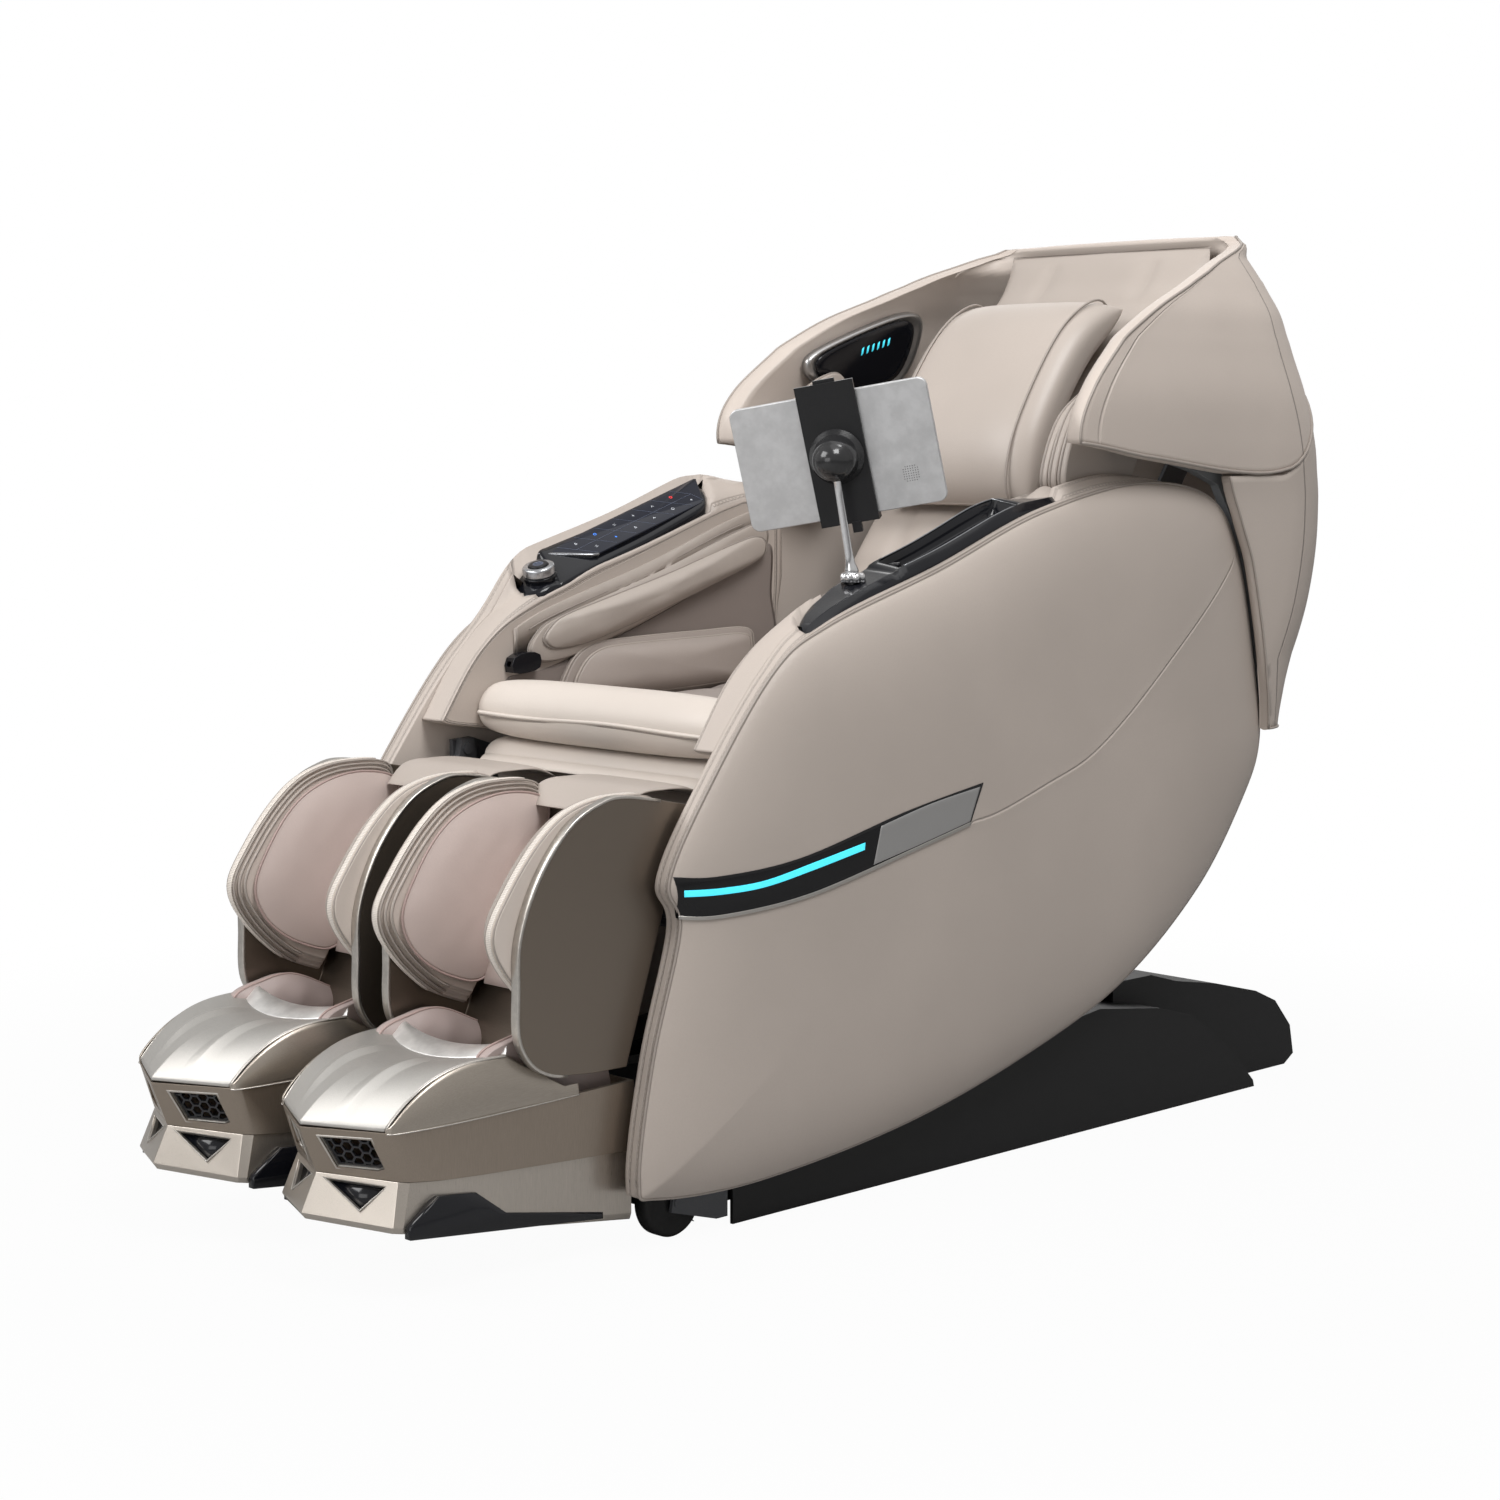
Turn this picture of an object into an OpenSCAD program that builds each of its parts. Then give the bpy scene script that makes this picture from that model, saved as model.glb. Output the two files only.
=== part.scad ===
// Massage chair with a reclining back, a lifting legrest and foot massagers.
// Origin on the floor under the base. +X is the sitter's left, -Y the front, +Z up.
// Millimetres. Side views are drawn as [y, z] points.

/* [Side panels and arms] */
// Half of the free width between the two side panels
panel_inner = 291; // [285:1:300]
// Thickness of a side panel at its piped seam
panel_seam = 25; // [18:1:32]
// How far a side panel bulges beyond its seam
panel_dome = 36; // [20:1:44]
// Height of the left arm's padded crown above the panel's seam
arm_crown = 26; // [15:1:30]
// Height of the bolster round the controls on the right arm, above the panel's seam
bolster = 66; // [50:1:70]
// Thickness of the padded inner side of an arm
arm_width = 44; // [36:1:50]

/* [Seat] */
// Half of the width of the seat cushion
seat_half = 236; // [200:1:242]
// Thickness of the seat cushion
seat_thick = 70; // [50:1:85]
// Diameter of the seat's front roll
roll_d = 74; // [60:1:80]
// Thickness of the steel side plates of the seat frame
plate_t = 8; // [5:1:9]
// Diameter of the shaft that the seat tilts on
tilt_pin_d = 18; // [14:1:24]

/* [Backrest] */
// Wall of the rear shell
shell_wall = 16; // [10:1:20]
// Thickness of the padded head hood
hood_wall = 30; // [20:1:34]
// Thickness of the back mat
mat_thick = 62; // [40:1:75]
// Half of the width of the back mat
mat_half = 196; // [170:1:205]
// Thickness of the head pillow
pillow_thick = 88; // [60:1:100]
// Diameter of the recline pivot pins
recline_pin_d = 20; // [14:1:26]

/* [Massage mechanism] */
// Diameter of a kneading roller
roller_d = 64; // [50:1:70]
// Width of a kneading roller
roller_w = 34; // [24:1:40]
// Distance between the middles of the left and right rollers
roller_span = 150; // [120:1:170]
// Diameter of the roller axles
axle_d = 12; // [8:1:16]

/* [Legrest] */
// Distance of a leg's middle from the chair's middle
leg_x = 154; // [150:1:156]
// Half of the width of a calf shell
calf_half = 129; // [120:1:130]
// Wall of a calf shell
calf_wall = 12; // [8:1:15]
// Thickness of the padded calf liner
liner_thick = 28; // [20:1:34]
// Diameter of the legrest hinge pins
lift_pin_d = 16; // [12:1:20]

/* [Foot massagers] */
// Half of the width of a foot massager at its rear
foot_half = 127; // [115:1:129]
// Wall of the foot massager's shells
foot_wall = 5; // [4:0.5:8]
// Diameter of a sole roller
sole_roller_d = 30; // [22:1:34]
// Width across the flats of a grille cell
cell = 11; // [9:1:16]
// Width of a grille web
web = 2.4; // [1.6:0.2:4]

/* [Base] */
// Wall of the base cover
base_wall = 5; // [3:0.5:8]
// Diameter of a transport wheel
wheel_d = 90; // [70:1:96]
// Width of a transport wheel
wheel_w = 26; // [18:1:30]
// Diameter of the wheel axles
wheel_axle_d = 12; // [8:1:16]

/* [Tablet holder] */
// Width of the tablet
tablet_w = 257; // [200:1:280]
// Height of the tablet
tablet_h = 160; // [130:1:180]
// Thickness of the tablet
tablet_t = 8; // [6:0.5:10]
// Diameter of the stalk
stalk_d = 13; // [10:0.5:16]
// Diameter of the ball joint
ball_d = 40; // [28:1:44]

/* [Controls] */
// Diameter of the control knob
knob_d = 46; // [36:1:50]
// Diameter of the knob's push button
button_d = 28; // [20:1:32]

/* [Fits] */
// Gap between bodies that move past each other
gap = 0.3; // [0.2:0.05:0.5]
// Radial clearance of a running pin in its bore
fit = 0.05; // [0.02:0.01:0.1]

/* [Hidden] */
$fn = 40;

base_half = panel_inner - 2;

// Pivots, as [y, z]
recline_pivot = [380, 470];
tilt_pivot = [300, 250];
lift_pivot = [-290, 548];
wheel_axis = [-409, wheel_d / 2];

// Colours
black = [0.05, 0.05, 0.06];
hide = [0.76, 0.71, 0.66];
cream = [0.85, 0.81, 0.76];
taupe = [0.62, 0.56, 0.53];
mauve = [0.60, 0.47, 0.44];
champagne = [0.66, 0.60, 0.53];
silver = [0.80, 0.79, 0.78];
steel = [0.45, 0.46, 0.48];

// ---------- curves and surfaces ----------

// A point on a Catmull-Rom curve between b and c
function between(a, b, c, d, t) =
    0.5 * (2 * b + (c - a) * t + (2 * a - 5 * b + 4 * c - d) * t * t
    + (3 * b - 3 * c + d - a) * t * t * t);

// A smooth open curve through points, n steps to a span
function curve(p, n) = concat(
    [for (i = [0:len(p) - 2], k = [0:n - 1])
        between(p[max(i - 1, 0)], p[i], p[i + 1], p[min(i + 2, len(p) - 1)], k / n)],
    [p[len(p) - 1]]);

// A smooth closed curve through points, n steps to a span
function ring(p, n) =
    [for (i = [0:len(p) - 1], k = [0:n - 1])
        between(p[(i + len(p) - 1) % len(p)], p[i], p[(i + 1) % len(p)], p[(i + 2) % len(p)], k / n)];

function ones(n) = [for (i = [1:n]) 1];
function middle(p) = ones(len(p)) * p / len(p);
function smooth(a, b, x) = let (t = min(1, max(0, (x - a) / (b - a)))) t * t * (3 - 2 * t);
function unit(v) = v / norm(v);

// Linear look-up in stations [[key, value, ...], ...] of the column-th value
function station(s, key, column) =
    key <= s[0][0] ? s[0][column] :
    key >= s[len(s) - 1][0] ? s[len(s) - 1][column] :
    let (i = max([for (k = [0:len(s) - 2]) s[k][0] <= key ? k : 0]),
         t = (key - s[i][0]) / (s[i + 1][0] - s[i][0]),
         a = s[max(i - 1, 0)][column], b = s[i][column],
         c = s[i + 1][column], d = s[min(i + 2, len(s) - 1)][column])
    between(a, b, c, d, t);

// A polyhedron of triangles, turned right side out whichever way they run
module closed(points, faces) {
    volume = ones(len(faces)) * [for (f = faces) points[f[0]] * cross(points[f[1]], points[f[2]])];
    polyhedron(points, volume > 0 ? [for (f = faces) [f[2], f[1], f[0]]] : faces);
}

// A closed solid through rings of points, each ring with the same count
module loft(rings) {
    n = len(rings[0]);
    last = len(rings) - 1;
    top = n * (last + 1);
    closed(
        concat([for (r = rings) each r], [middle(rings[0]), middle(rings[last])]),
        concat(
            [for (j = [0:last - 1], i = [0:n - 1])
                let (a = j * n + i, b = j * n + (i + 1) % n)
                each [[a, b, a + n], [b, b + n, a + n]]],
            [for (i = [0:n - 1]) [top, (i + 1) % n, i]],
            [for (i = [0:n - 1]) [top + 1, last * n + i, last * n + (i + 1) % n]]));
}

// A closed solid between two grids of points of the same size
module slab(front, back) {
    m = len(front) - 1;
    n = len(front[0]) - 1;
    half = (m + 1) * (n + 1);
    closed(
        concat([for (row = front) each row], [for (row = back) each row]),
        concat(
            [for (i = [0:m - 1], j = [0:n - 1])
                let (a = i * (n + 1) + j, b = a + 1, c = a + n + 1, d = c + 1)
                each [[a, b, c], [b, d, c], [half + a, half + c, half + b],
                    [half + b, half + c, half + d]]],
            [for (i = [0:m - 1])
                let (a = i * (n + 1), c = a + n + 1)
                each [[a, c, half + a], [c, half + c, half + a],
                    [a + n, half + a + n, c + n], [c + n, half + a + n, half + c + n]]],
            [for (j = [0:n - 1])
                let (a = j, b = j + 1, c = m * (n + 1) + j, d = c + 1)
                each [[a, half + a, b], [b, half + a, half + b],
                    [c, d, half + c], [d, half + d, half + c]]]));
}

// A plate with a [y, z] outline: flat at x0, crowned by `crown` up to x1
module crowned(outline, x0, x1, crown, power = 4) {
    c = middle(outline);
    shrink = [1, 0.985, 0.95, 0.88, 0.76, 0.55, 0.25];
    side = x1 > x0 ? 1 : -1;
    loft(concat(
        [[for (p = outline) [x0, p[0], p[1]]]],
        [for (s = shrink)
            [for (p = outline)
                let (q = c + (p - c) * s) [x1 - side * crown * pow(s, power), q[0], q[1]]]]));
}

// A flat plate with a [y, z] outline between two x values
module plate(outline, x0, x1) {
    translate([min(x0, x1), 0, 0])
        rotate([90, 0, 90])
            linear_extrude(abs(x1 - x0)) polygon(outline);
}

// A round bar along X through a [y, z] point
module bar(at, d, x0, x1) {
    translate([min(x0, x1), at[0], at[1]])
        rotate([0, 90, 0]) cylinder(d = d, h = abs(x1 - x0));
}

// A cushion along a [y, z] path: u runs across it, v along it. It is crowned in the
// middle and drawn in at its four sides, and sewn channels cross it.
module cushion(path, half_w, thick, across = 8, channels = 0, sink = 5) {
    rows = len(path) - 1;
    function along(i) = unit(path[min(i + 1, rows)] - path[max(i - 1, 0)]);
    function edge(t) = pow(1 - pow(abs(t), 4), 0.5);
    function swell(u, v) = max(0.12, edge(u) * edge(2 * v - 1));
    function groove(v) = channels == 0 ? 0 : sink * pow(abs(cos(180 * channels * v)), 10);
    function grid(side) =
        [for (i = [0:rows])
            let (v = i / rows, t = along(i), n = [-t[1], t[0]])
            [for (j = [-across:across])
                let (u = j / across, h = thick / 2 * swell(u, v) - (side > 0 ? groove(v) : 0),
                     w = half_w * (1 - 0.03 * pow(abs(2 * v - 1), 6)),
                     q = path[i] + n * side * h)
                [u * w, q[0], q[1]]]];
    slab(grid(1), grid(-1));
}

module both_sides() {
    children();
    mirror([1, 0, 0]) children();
}

// ---------- side panels and arms ----------

// Side view of a panel, from its lower front corner over the top
panel_points = [
    [-498, 92], [-475, 234], [-431, 386], [-448, 446], [-386, 549], [-275, 685], [-178, 738],
    [24, 800], [221, 868], [434, 906], [594, 884], [664, 797], [710, 620], [722, 526],
    [684, 447], [580, 326], [408, 211], [196, 137], [-40, 84], [-300, 58], [-468, 66]
];
panel_outline = ring(panel_points, 2);

// Rise of the left arm's crown over a point of the outline
function crown_rise(p) = arm_crown * smooth(680, 770, p[1]) * (1 - smooth(330, 560, p[0]));

// Rise of the right arm's bolster over a point of the outline; u is the distance outwards
// from the plane where arm and panel meet
function bolster_rise(p, u) =
    let (start = -195 - 75 * smooth(-29, 13, u))
    bolster * smooth(590, 720, p[1]) * smooth(start, -125, p[0]) * (1 - smooth(150, 340, p[0]));

// Profiles of the two arms across u: the share of the full rise
crown_profile = [[-45, 0.1], [-40, 0.55], [-31, 0.9], [-16, 1], [0, 0.8], [9, 0.72], [17, 0.42],
    [panel_seam, 0]];
bolster_profile = [[-45, 0.12], [-40, 0.35], [-31, 0.56], [-16, 0.76], [0, 0.92], [9, 1], [15, 0.97],
    [21, 0.62], [panel_seam, 0]];

// The outline at u, pushed out along its normals by the arm's rise
function risen(outline, u, controls) =
    [for (i = [0:len(outline) - 1])
        let (n = len(outline), p = outline[i],
             t = unit(outline[(i + 1) % n] - outline[(i + n - 1) % n]),
             plain = crown_rise(p) * lookup(u, crown_profile),
             raised = controls ? bolster_rise(p, u) * lookup(u, bolster_profile) : 0)
        p + [-t[1], t[0]] * max(plain, raised)];

dome_steps = [0.985, 0.95, 0.88, 0.76, 0.6, 0.35];
function dome_x(s) = panel_inner + panel_seam + panel_dome * (1 - pow(s, 6));

module side_panel(controls) {
    c = middle(panel_outline);
    difference() {
        loft(concat(
            [for (k = [0, 0.35, 0.6, 0.85, 1])
                [for (p = risen(panel_outline, panel_seam * k, controls))
                    [panel_inner + panel_seam * k, p[0], p[1]]]],
            [for (s = dome_steps)
                [for (p = panel_outline) let (q = c + (p - c) * s) [dome_x(s), q[0], q[1]]]]));
        inlay(trim_low, trim_high, -trim_sink - gap, 12, gap);
        top_pocket(controls ? housing_plan : tray_plan);
    }
}

// How far out a side view's point lies: 0 in the panel's middle, 1 on its outline
function share(q) =
    let (c = middle(panel_outline), d = q - c, n = len(panel_outline))
    1 / max([for (i = [0:n - 1])
        let (a = panel_outline[i] - c, e = panel_outline[(i + 1) % n] - panel_outline[i],
             w = cross(d, e), u = w == 0 ? -1 : cross(a, d) / w)
        u >= 0 && u <= 1 ? max(0, cross(a, e) / w) : 0]);

dome_table = concat([[0, dome_x(0.35)]], [for (s = dome_steps) [s, dome_x(s)]],
    [[1, panel_inner + panel_seam]]);

// A strip between two side-view lines, laid on the panel's outer face: `from` and `to` are
// heights above that face and `grow` widens it all round
module inlay(low, high, from, to, grow = 0) {
    last = len(low) - 1;
    rows = 3;
    function spot(i, j) =
        let (a = unit(high[i] - low[i]) * grow, p = low[i] - a, q = high[i] + a)
        p + (q - p) * j / rows + [i == 0 ? -grow : i == last ? grow : 0, 0];
    function grid(lift) =
        [for (i = [0:last]) [for (j = [0:rows])
            let (q = spot(i, j)) [lookup(share(q), dome_table) + lift, q[0], q[1]]]];
    slab(grid(to), grid(from));
}

module side_panel_left() color(hide) side_panel(false);
module side_panel_right() color(hide) mirror([1, 0, 0]) side_panel(true);

// The arm's padded inner side: its top follows the panel, with the rise above it
arm_rear = 286;
arm_top = curve(concat([[-346, 590]], [for (i = [5:8]) panel_points[i]]), 3);
arm_floor = [[arm_rear, 884], [arm_rear, 600], [100, 560], [-150, 556], [-262, 574], [-330, 584]];
arm_inner = panel_inner - gap;

module arm(controls) {
    outline = concat(arm_top, arm_floor);
    difference() {
        loft([for (k = [0, 0.35, 0.7, 0.9, 1])
            [for (p = risen(outline, -arm_width * k, controls)) [arm_inner - arm_width * k, p[0], p[1]]]]);
        top_pocket(controls ? housing_plan : tray_plan);
    }
}

module arm_left() color(hide) arm(false);
module arm_right() color(hide) mirror([1, 0, 0]) arm(true);

// Height of the panel's seam over a y
seam_line = curve([for (i = [5:9]) panel_points[i]], 4);
function seam_z(y) = lookup(y, seam_line);

// The pocket in an arm's top for a piece with this plan of [u, y] points
pocket_floor = 1;

module top_pocket(plan) {
    intersection() {
        translate([panel_inner, 0, 0]) linear_extrude(1100) polygon(plan);
        plate(concat(
            [for (y = [-212:15:298]) [y, 1000]],
            [for (y = [298:-15:-212]) [y, seam_z(y) + pocket_floor - 2 * gap]]), 200, 330);
    }
}

// Two layered air bags that hang under each arm's top
arm_face = arm_inner - arm_width - gap;
bag_outline = ring([[-172, 664], [-160, 704], [20, 758], [215, 822], [250, 812], [225, 778],
    [60, 722], [-120, 676]], 2);

module arm_bags() color(taupe) both_sides()
    crowned(bag_outline, arm_face, arm_face - 22, 14);

// Padded hip rests between the arms and the seat
hip_outline = ring([[-136, 624], [-122, 656], [0, 676], [140, 682], [212, 678], [228, 660],
    [190, 642], [60, 620], [-80, 614]], 2);

module hip_pads() color(taupe) both_sides() {
    crowned(hip_outline, arm_face, arm_face - 38, 24);
}

// ---------- side trims ----------

// The black inlay on a panel's outer face, with a light strip and a bare plate let into it
trim_high = curve([[-444, 452], [-385, 449], [-257, 460], [-78, 499], [72, 524]], 4);
trim_low = curve([[-434, 401], [-378, 399], [-240, 412], [-60, 449], [47, 472]], 4);
led_high = curve([[-434, 436], [-385, 435], [-320, 438], [-240, 452], [-150, 468]], 3);
led_low = curve([[-433, 427], [-385, 426], [-320, 429], [-240, 442], [-151, 458]], 3);
plate_high = curve([[-122, 486], [-30, 506], [66, 520]], 4);
plate_low = curve([[-136, 437], [-41, 456], [46, 475]], 4);
trim_sink = 4;
trim_proud = 2;
inlay_depth = 1.4;

module side_trims() color(black) both_sides() difference() {
    inlay(trim_low, trim_high, -trim_sink, trim_proud);
    inlay(led_low, led_high, trim_proud - inlay_depth, trim_proud + 3);
    inlay(plate_low, plate_high, trim_proud - inlay_depth, trim_proud + 3);
}

module led_strips() color("cyan") both_sides()
    inlay(led_low, led_high, trim_proud - inlay_depth + 0.2, trim_proud - 0.4, -gap);

// ---------- seat ----------

module seat_cushion() color(taupe)
    cushion(curve([[-215, 588], [-100, 580], [60, 584], [170, 596], [252, 624]], 3),
        seat_half, seat_thick, 7, 3);

module front_roll() color(cream)
    cushion(curve([[-226, 628], [-262, 628], [-280, 608], [-274, 586], [-244, 578]], 3),
        arm_face - gap, roll_d / 2, 7);

module seat_flap() color(cream)
    cushion(curve([[-234, 564.5], [-262, 560.1], [-279, 549], [-284, 534]], 3), seat_half, 9, 6);

// Side plates of the seat frame, from the legrest hinge to the recline pivot
frame_x = panel_inner - 9;
seat_plate = [[-306, 560], [-306, 535], [-262, 500], [150, 400], [270, 225], [330, 225], [345, 300],
    [412, 440], [412, 500], [350, 510], [250, 470], [-180, 530], [-274, 562]];
tube_d = 30;
cross_tubes = [[-205, 516], [60, 452], [275, 420]];

module seat_frame() color(steel) {
    both_sides() {
        difference() {
            plate(seat_plate, frame_x - plate_t, frame_x);
            bar(tilt_pivot, tilt_pin_d + 2 * fit, 0, panel_inner);
            for (at = [[40, 478], [160, 440], [-80, 496]])
                bar(at, 30, 0, panel_inner);
        }
        bar(recline_pivot, recline_pin_d, frame_x - plate_t - 14, frame_x - plate_t + 1);
        bar(lift_pivot, lift_pin_d, frame_x - plate_t - 14, frame_x - plate_t + 1);
        for (at = [[-200, 500], [120, 420], [360, 480]])
            bar(at, 24, frame_x - 1, panel_inner);
    }
    for (at = cross_tubes)
        bar(at, tube_d, -frame_x + plate_t - 1, frame_x - plate_t + 1);
    // Seat pan under the cushion
    plate([[-225, 546], [-225, 543], [-100, 535], [60, 541], [200, 560], [200, 563], [60, 545], [-100, 539]],
        -seat_half + 10, seat_half - 10);
    for (x = [-150, 150], at = [[-205, 516, 545], [60, 452, 542]])
        translate([x, at[0], at[1]]) cylinder(d = 16, h = at[2] - at[1]);
}

// ---------- controls on the sitter's right arm ----------
// Drawn on the left and mirrored; u is again the distance outwards from the panel's inner plane

housing_plan = [[-41.8, -165], [-29, -185], [7, -185], [14, -172], [14, 174], [-2, 174], [-41.8, 150]];

// Cross-sections of the housing: [y, inner u, outer u, height of the inner edge, of the outer edge],
// the heights above the panel's seam
housing_rows = [
    [-183, -17, 5, 6, 12], [-176, -27, 9.5, 12, 22], [-160, -38, 13, 14, 32], [-133, -41.2, 13.5, 15, 40],
    [-127, -41.4, 13.5, 16, 57], [-62, -41.4, 13.5, 22, 57], [5, -41.4, 13.5, 25, 57],
    [75, -41.4, 13.5, 28, 57], [143, -41.4, 13.5, 30, 57],
    [160, -23, 13.5, 40, 57], [172, 0, 13, 46, 54]
];

function housing_ring(r) =
    let (y = r[0], inner = panel_inner + r[1], outer = panel_inner + r[2], z = seam_z(y),
         floor = z + pocket_floor)
    [[inner, y, floor], [inner, y, max(floor + 1, z + r[3] - 10)], [inner + 5, y, z + r[3]],
        [outer - 2, y, z + r[4]], [outer, y, z + r[4] - 2], [outer, y, floor]];

// The glass lies in a plane that leans in to the sitter and rises to the rear
glass_at = [panel_inner - 11, 20, 846.6];
glass_rise = 18.9;
glass_lean = 27.9;
glass_thick = 6;
glass_plan = [[24.5, -150], [24.5, 160], [22, 163], [-22, 133], [-26.8, 126], [-27, -84], [-22, -93]];

module on_glass() {
    translate(glass_at) rotate([glass_rise, 0, 0]) rotate([0, -glass_lean, 0]) children();
}

knob_at = [panel_inner - 11, -144, 775];
knob_lean = 8;
knob_shaft_d = 12;
knob_stem_d = 6;

module on_knob_axis() {
    translate(knob_at) rotate([glass_rise, 0, 0]) rotate([0, -knob_lean, 0]) children();
}

module control_housing() color(black) mirror([1, 0, 0]) difference() {
    union() {
        loft([for (r = housing_rows) housing_ring(r)]);
        // Flared foot of the knob
        on_knob_axis() translate([0, 0, -8]) cylinder(d1 = knob_d - 2, d2 = knob_d + 2, h = 13);
    }
    on_glass() translate([0, 0, -glass_thick - gap / 3]) linear_extrude(30) polygon(glass_plan);
    on_knob_axis() {
        translate([0, 0, 5]) cylinder(d = knob_d + 3, h = 40);
        translate([0, 0, -14]) cylinder(d = knob_shaft_d + 2 * fit, h = 40);
    }
}

module touch_panel() color([0.02, 0.02, 0.08]) mirror([1, 0, 0])
    on_glass() translate([0, 0, -glass_thick]) linear_extrude(glass_thick) polygon(glass_plan);

module knob_ring() color(silver) mirror([1, 0, 0]) on_knob_axis() difference() {
    union() {
        translate([0, 0, 5 + gap]) cylinder(d = knob_d, h = 14);
        translate([0, 0, -12]) cylinder(d = knob_shaft_d, h = 19);
    }
    translate([0, 0, 14]) cylinder(d = button_d + 2 * gap, h = 10);
    translate([0, 0, 7.5]) cylinder(d = knob_stem_d + 2 * fit, h = 10);
}

module knob_button() color(black) mirror([1, 0, 0]) on_knob_axis() {
    translate([0, 0, 15.8]) cylinder(d = button_d, h = 5.5);
    translate([0, 0, 9.5]) cylinder(d = knob_stem_d, h = 7);
}

// Small socket housing at the front of the sitter's right side
module port_housing() color(black)
    translate([-arm_face, 0, 0]) difference() {
        plate(ring([[-236, 650], [-234, 670], [-210, 677], [-188, 673], [-188, 655], [-210, 649]], 2), 0, 18);
        translate([4, -241, 658]) cube([9, 22, 7]);
    }

// ---------- tray and tablet holder on the sitter's left arm ----------

tray_plan = [[-40.3, -104], [-30, -166], [-12, -202], [4, -211], [20.3, -211], [20.3, 268],
    [17.3, 274], [-30, 274], [-38, 236], [-40.3, 200]];

// Cross-sections of the tray: [y, inner u, outer u, height of the inner rim, of the outer rim]
tray_rows = [
    [-208, 6, 20, 4, 4], [-196, -10, 20, 8, 9], [-162, -28, 20, 12, 13], [-134, -34, 20, 16, 15],
    [-104, -40, 20, 20, 17],
    [-44, -40, 20, 24, 20], [-32, -40, 20, 28, 21], [30, -40, 20, 29, 21], [90, -40, 20, 30, 21],
    [150, -40, 20, 31, 21], [200, -40, 20, 26, 19],
    [234, -37, 20, 16, 15], [270, -29, 17, 9, 11]
];

function tray_ring(r) =
    let (y = r[0], inner = panel_inner + r[1], outer = panel_inner + r[2], z = seam_z(y),
         floor = z + pocket_floor)
    [[inner, y, floor], [inner, y, z + r[3] - 2], [inner + 3, y, z + r[3]],
        [outer - 11, y, z + r[4]], [outer, y, max(floor + 1, z + r[4] - 11)], [outer, y, floor]];

recess_floor = 6;

module phone_tray() color(black) difference() {
    union() {
        loft([for (r = tray_rows) tray_ring(r)]);
        // Boss under the stalk's rosette
        translate([stalk_foot[0], stalk_foot[1], stalk_foot[2] - 14]) cylinder(d = 35, h = 14 - gap);
    }
    plate(concat(
        [for (y = [-30:15:195]) [y, seam_z(y) + 60]],
        [for (y = [195:-15:-15]) [y, seam_z(y) + recess_floor]],
        [[-30, seam_z(-30) + 16]]), panel_inner - 33, panel_inner + 7);
    translate(stalk_foot - [0, 0, 18]) cylinder(d = stalk_d + 2 * fit, h = 40);
    translate(stalk_foot + [0, 0, -gap]) cylinder(d = 42, h = 30);
}

stalk_foot = [panel_inner - 22.3, -87, 787];
ball_at = [panel_inner - 22.3, -122, 941];

module stalk() color(silver) {
    reach = ball_at - stalk_foot;
    translate(stalk_foot - [0, 0, 11]) cylinder(d = stalk_d, h = 15);
    // Rosette that screws the stalk down
    difference() {
        translate(stalk_foot) cylinder(d = 34, h = 12);
        for (i = [0:7])
            translate(stalk_foot - [0, 0, 1]) rotate(i * 45) translate([19, 0, 0]) cylinder(d = 8, h = 14);
    }
    translate(stalk_foot + [0, 0, 4]) rotate([-atan2(reach[1], reach[2] - 4), 0, 0])
        cylinder(d = stalk_d - 2, h = norm(reach) - 4 - ball_d / 4);
    translate(ball_at) sphere(d = ball_d);
}

tablet_turn = 35;
tablet_lean = 10;
tablet_roll = -10;
strap_w = 76;
strap_t = 5;
strap_y = 26;
jaw_t = 8;
lip_h = 6;

module at_tablet() {
    translate(ball_at) rotate([tablet_lean, 0, tablet_turn]) rotate([0, tablet_roll, 0]) children();
}

module tablet_clamp() color(black) at_tablet() difference() {
    union() {
        // Socket of the ball joint, flared where it meets the strap
        rotate([-90, 0, 0]) rotate_extrude()
            polygon([[0, -12], [ball_d / 2 + 2, -12], [ball_d / 2 + 6, -6], [ball_d / 2 + 8, 16],
                [ball_d / 2 + 15, strap_y - 3], [ball_d / 2 + 15, strap_y + 1], [0, strap_y + 1]]);
        translate([-strap_w / 2, strap_y, -tablet_h / 2 - jaw_t])
            cube([strap_w, strap_t, tablet_h + 2 * jaw_t + lip_h]);
        translate([-strap_w / 2, strap_y, -tablet_h / 2 - jaw_t])
            cube([strap_w, strap_t + tablet_t + 6, jaw_t - gap]);
        translate([-strap_w / 2, strap_y + strap_t + tablet_t + 2 * gap, -tablet_h / 2 - jaw_t])
            cube([strap_w, 4, jaw_t + lip_h]);
        // Catch under the lower edge
        translate([2, strap_y - 2, -tablet_h / 2 - jaw_t - 12]) cube([12, 8, 14]);
    }
    sphere(d = ball_d + 2 * fit);
    rotate([-tablet_lean, 0, 0]) translate([-stalk_d / 2 - 5, -30, -ball_d]) cube([stalk_d + 10, 46, ball_d]);
}

module clamp_jaw() color(black) at_tablet()
    translate([-strap_w / 2 + 4, strap_y + strap_t + gap, tablet_h / 2 + gap]) {
        cube([strap_w - 8, tablet_t + gap + 4, jaw_t]);
        translate([0, tablet_t + gap, -lip_h]) cube([strap_w - 8, 4, lip_h + 2]);
        translate([strap_w / 2 - 18, 0, 0]) cube([28, 6, jaw_t + lip_h + 4]);
    }

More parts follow.
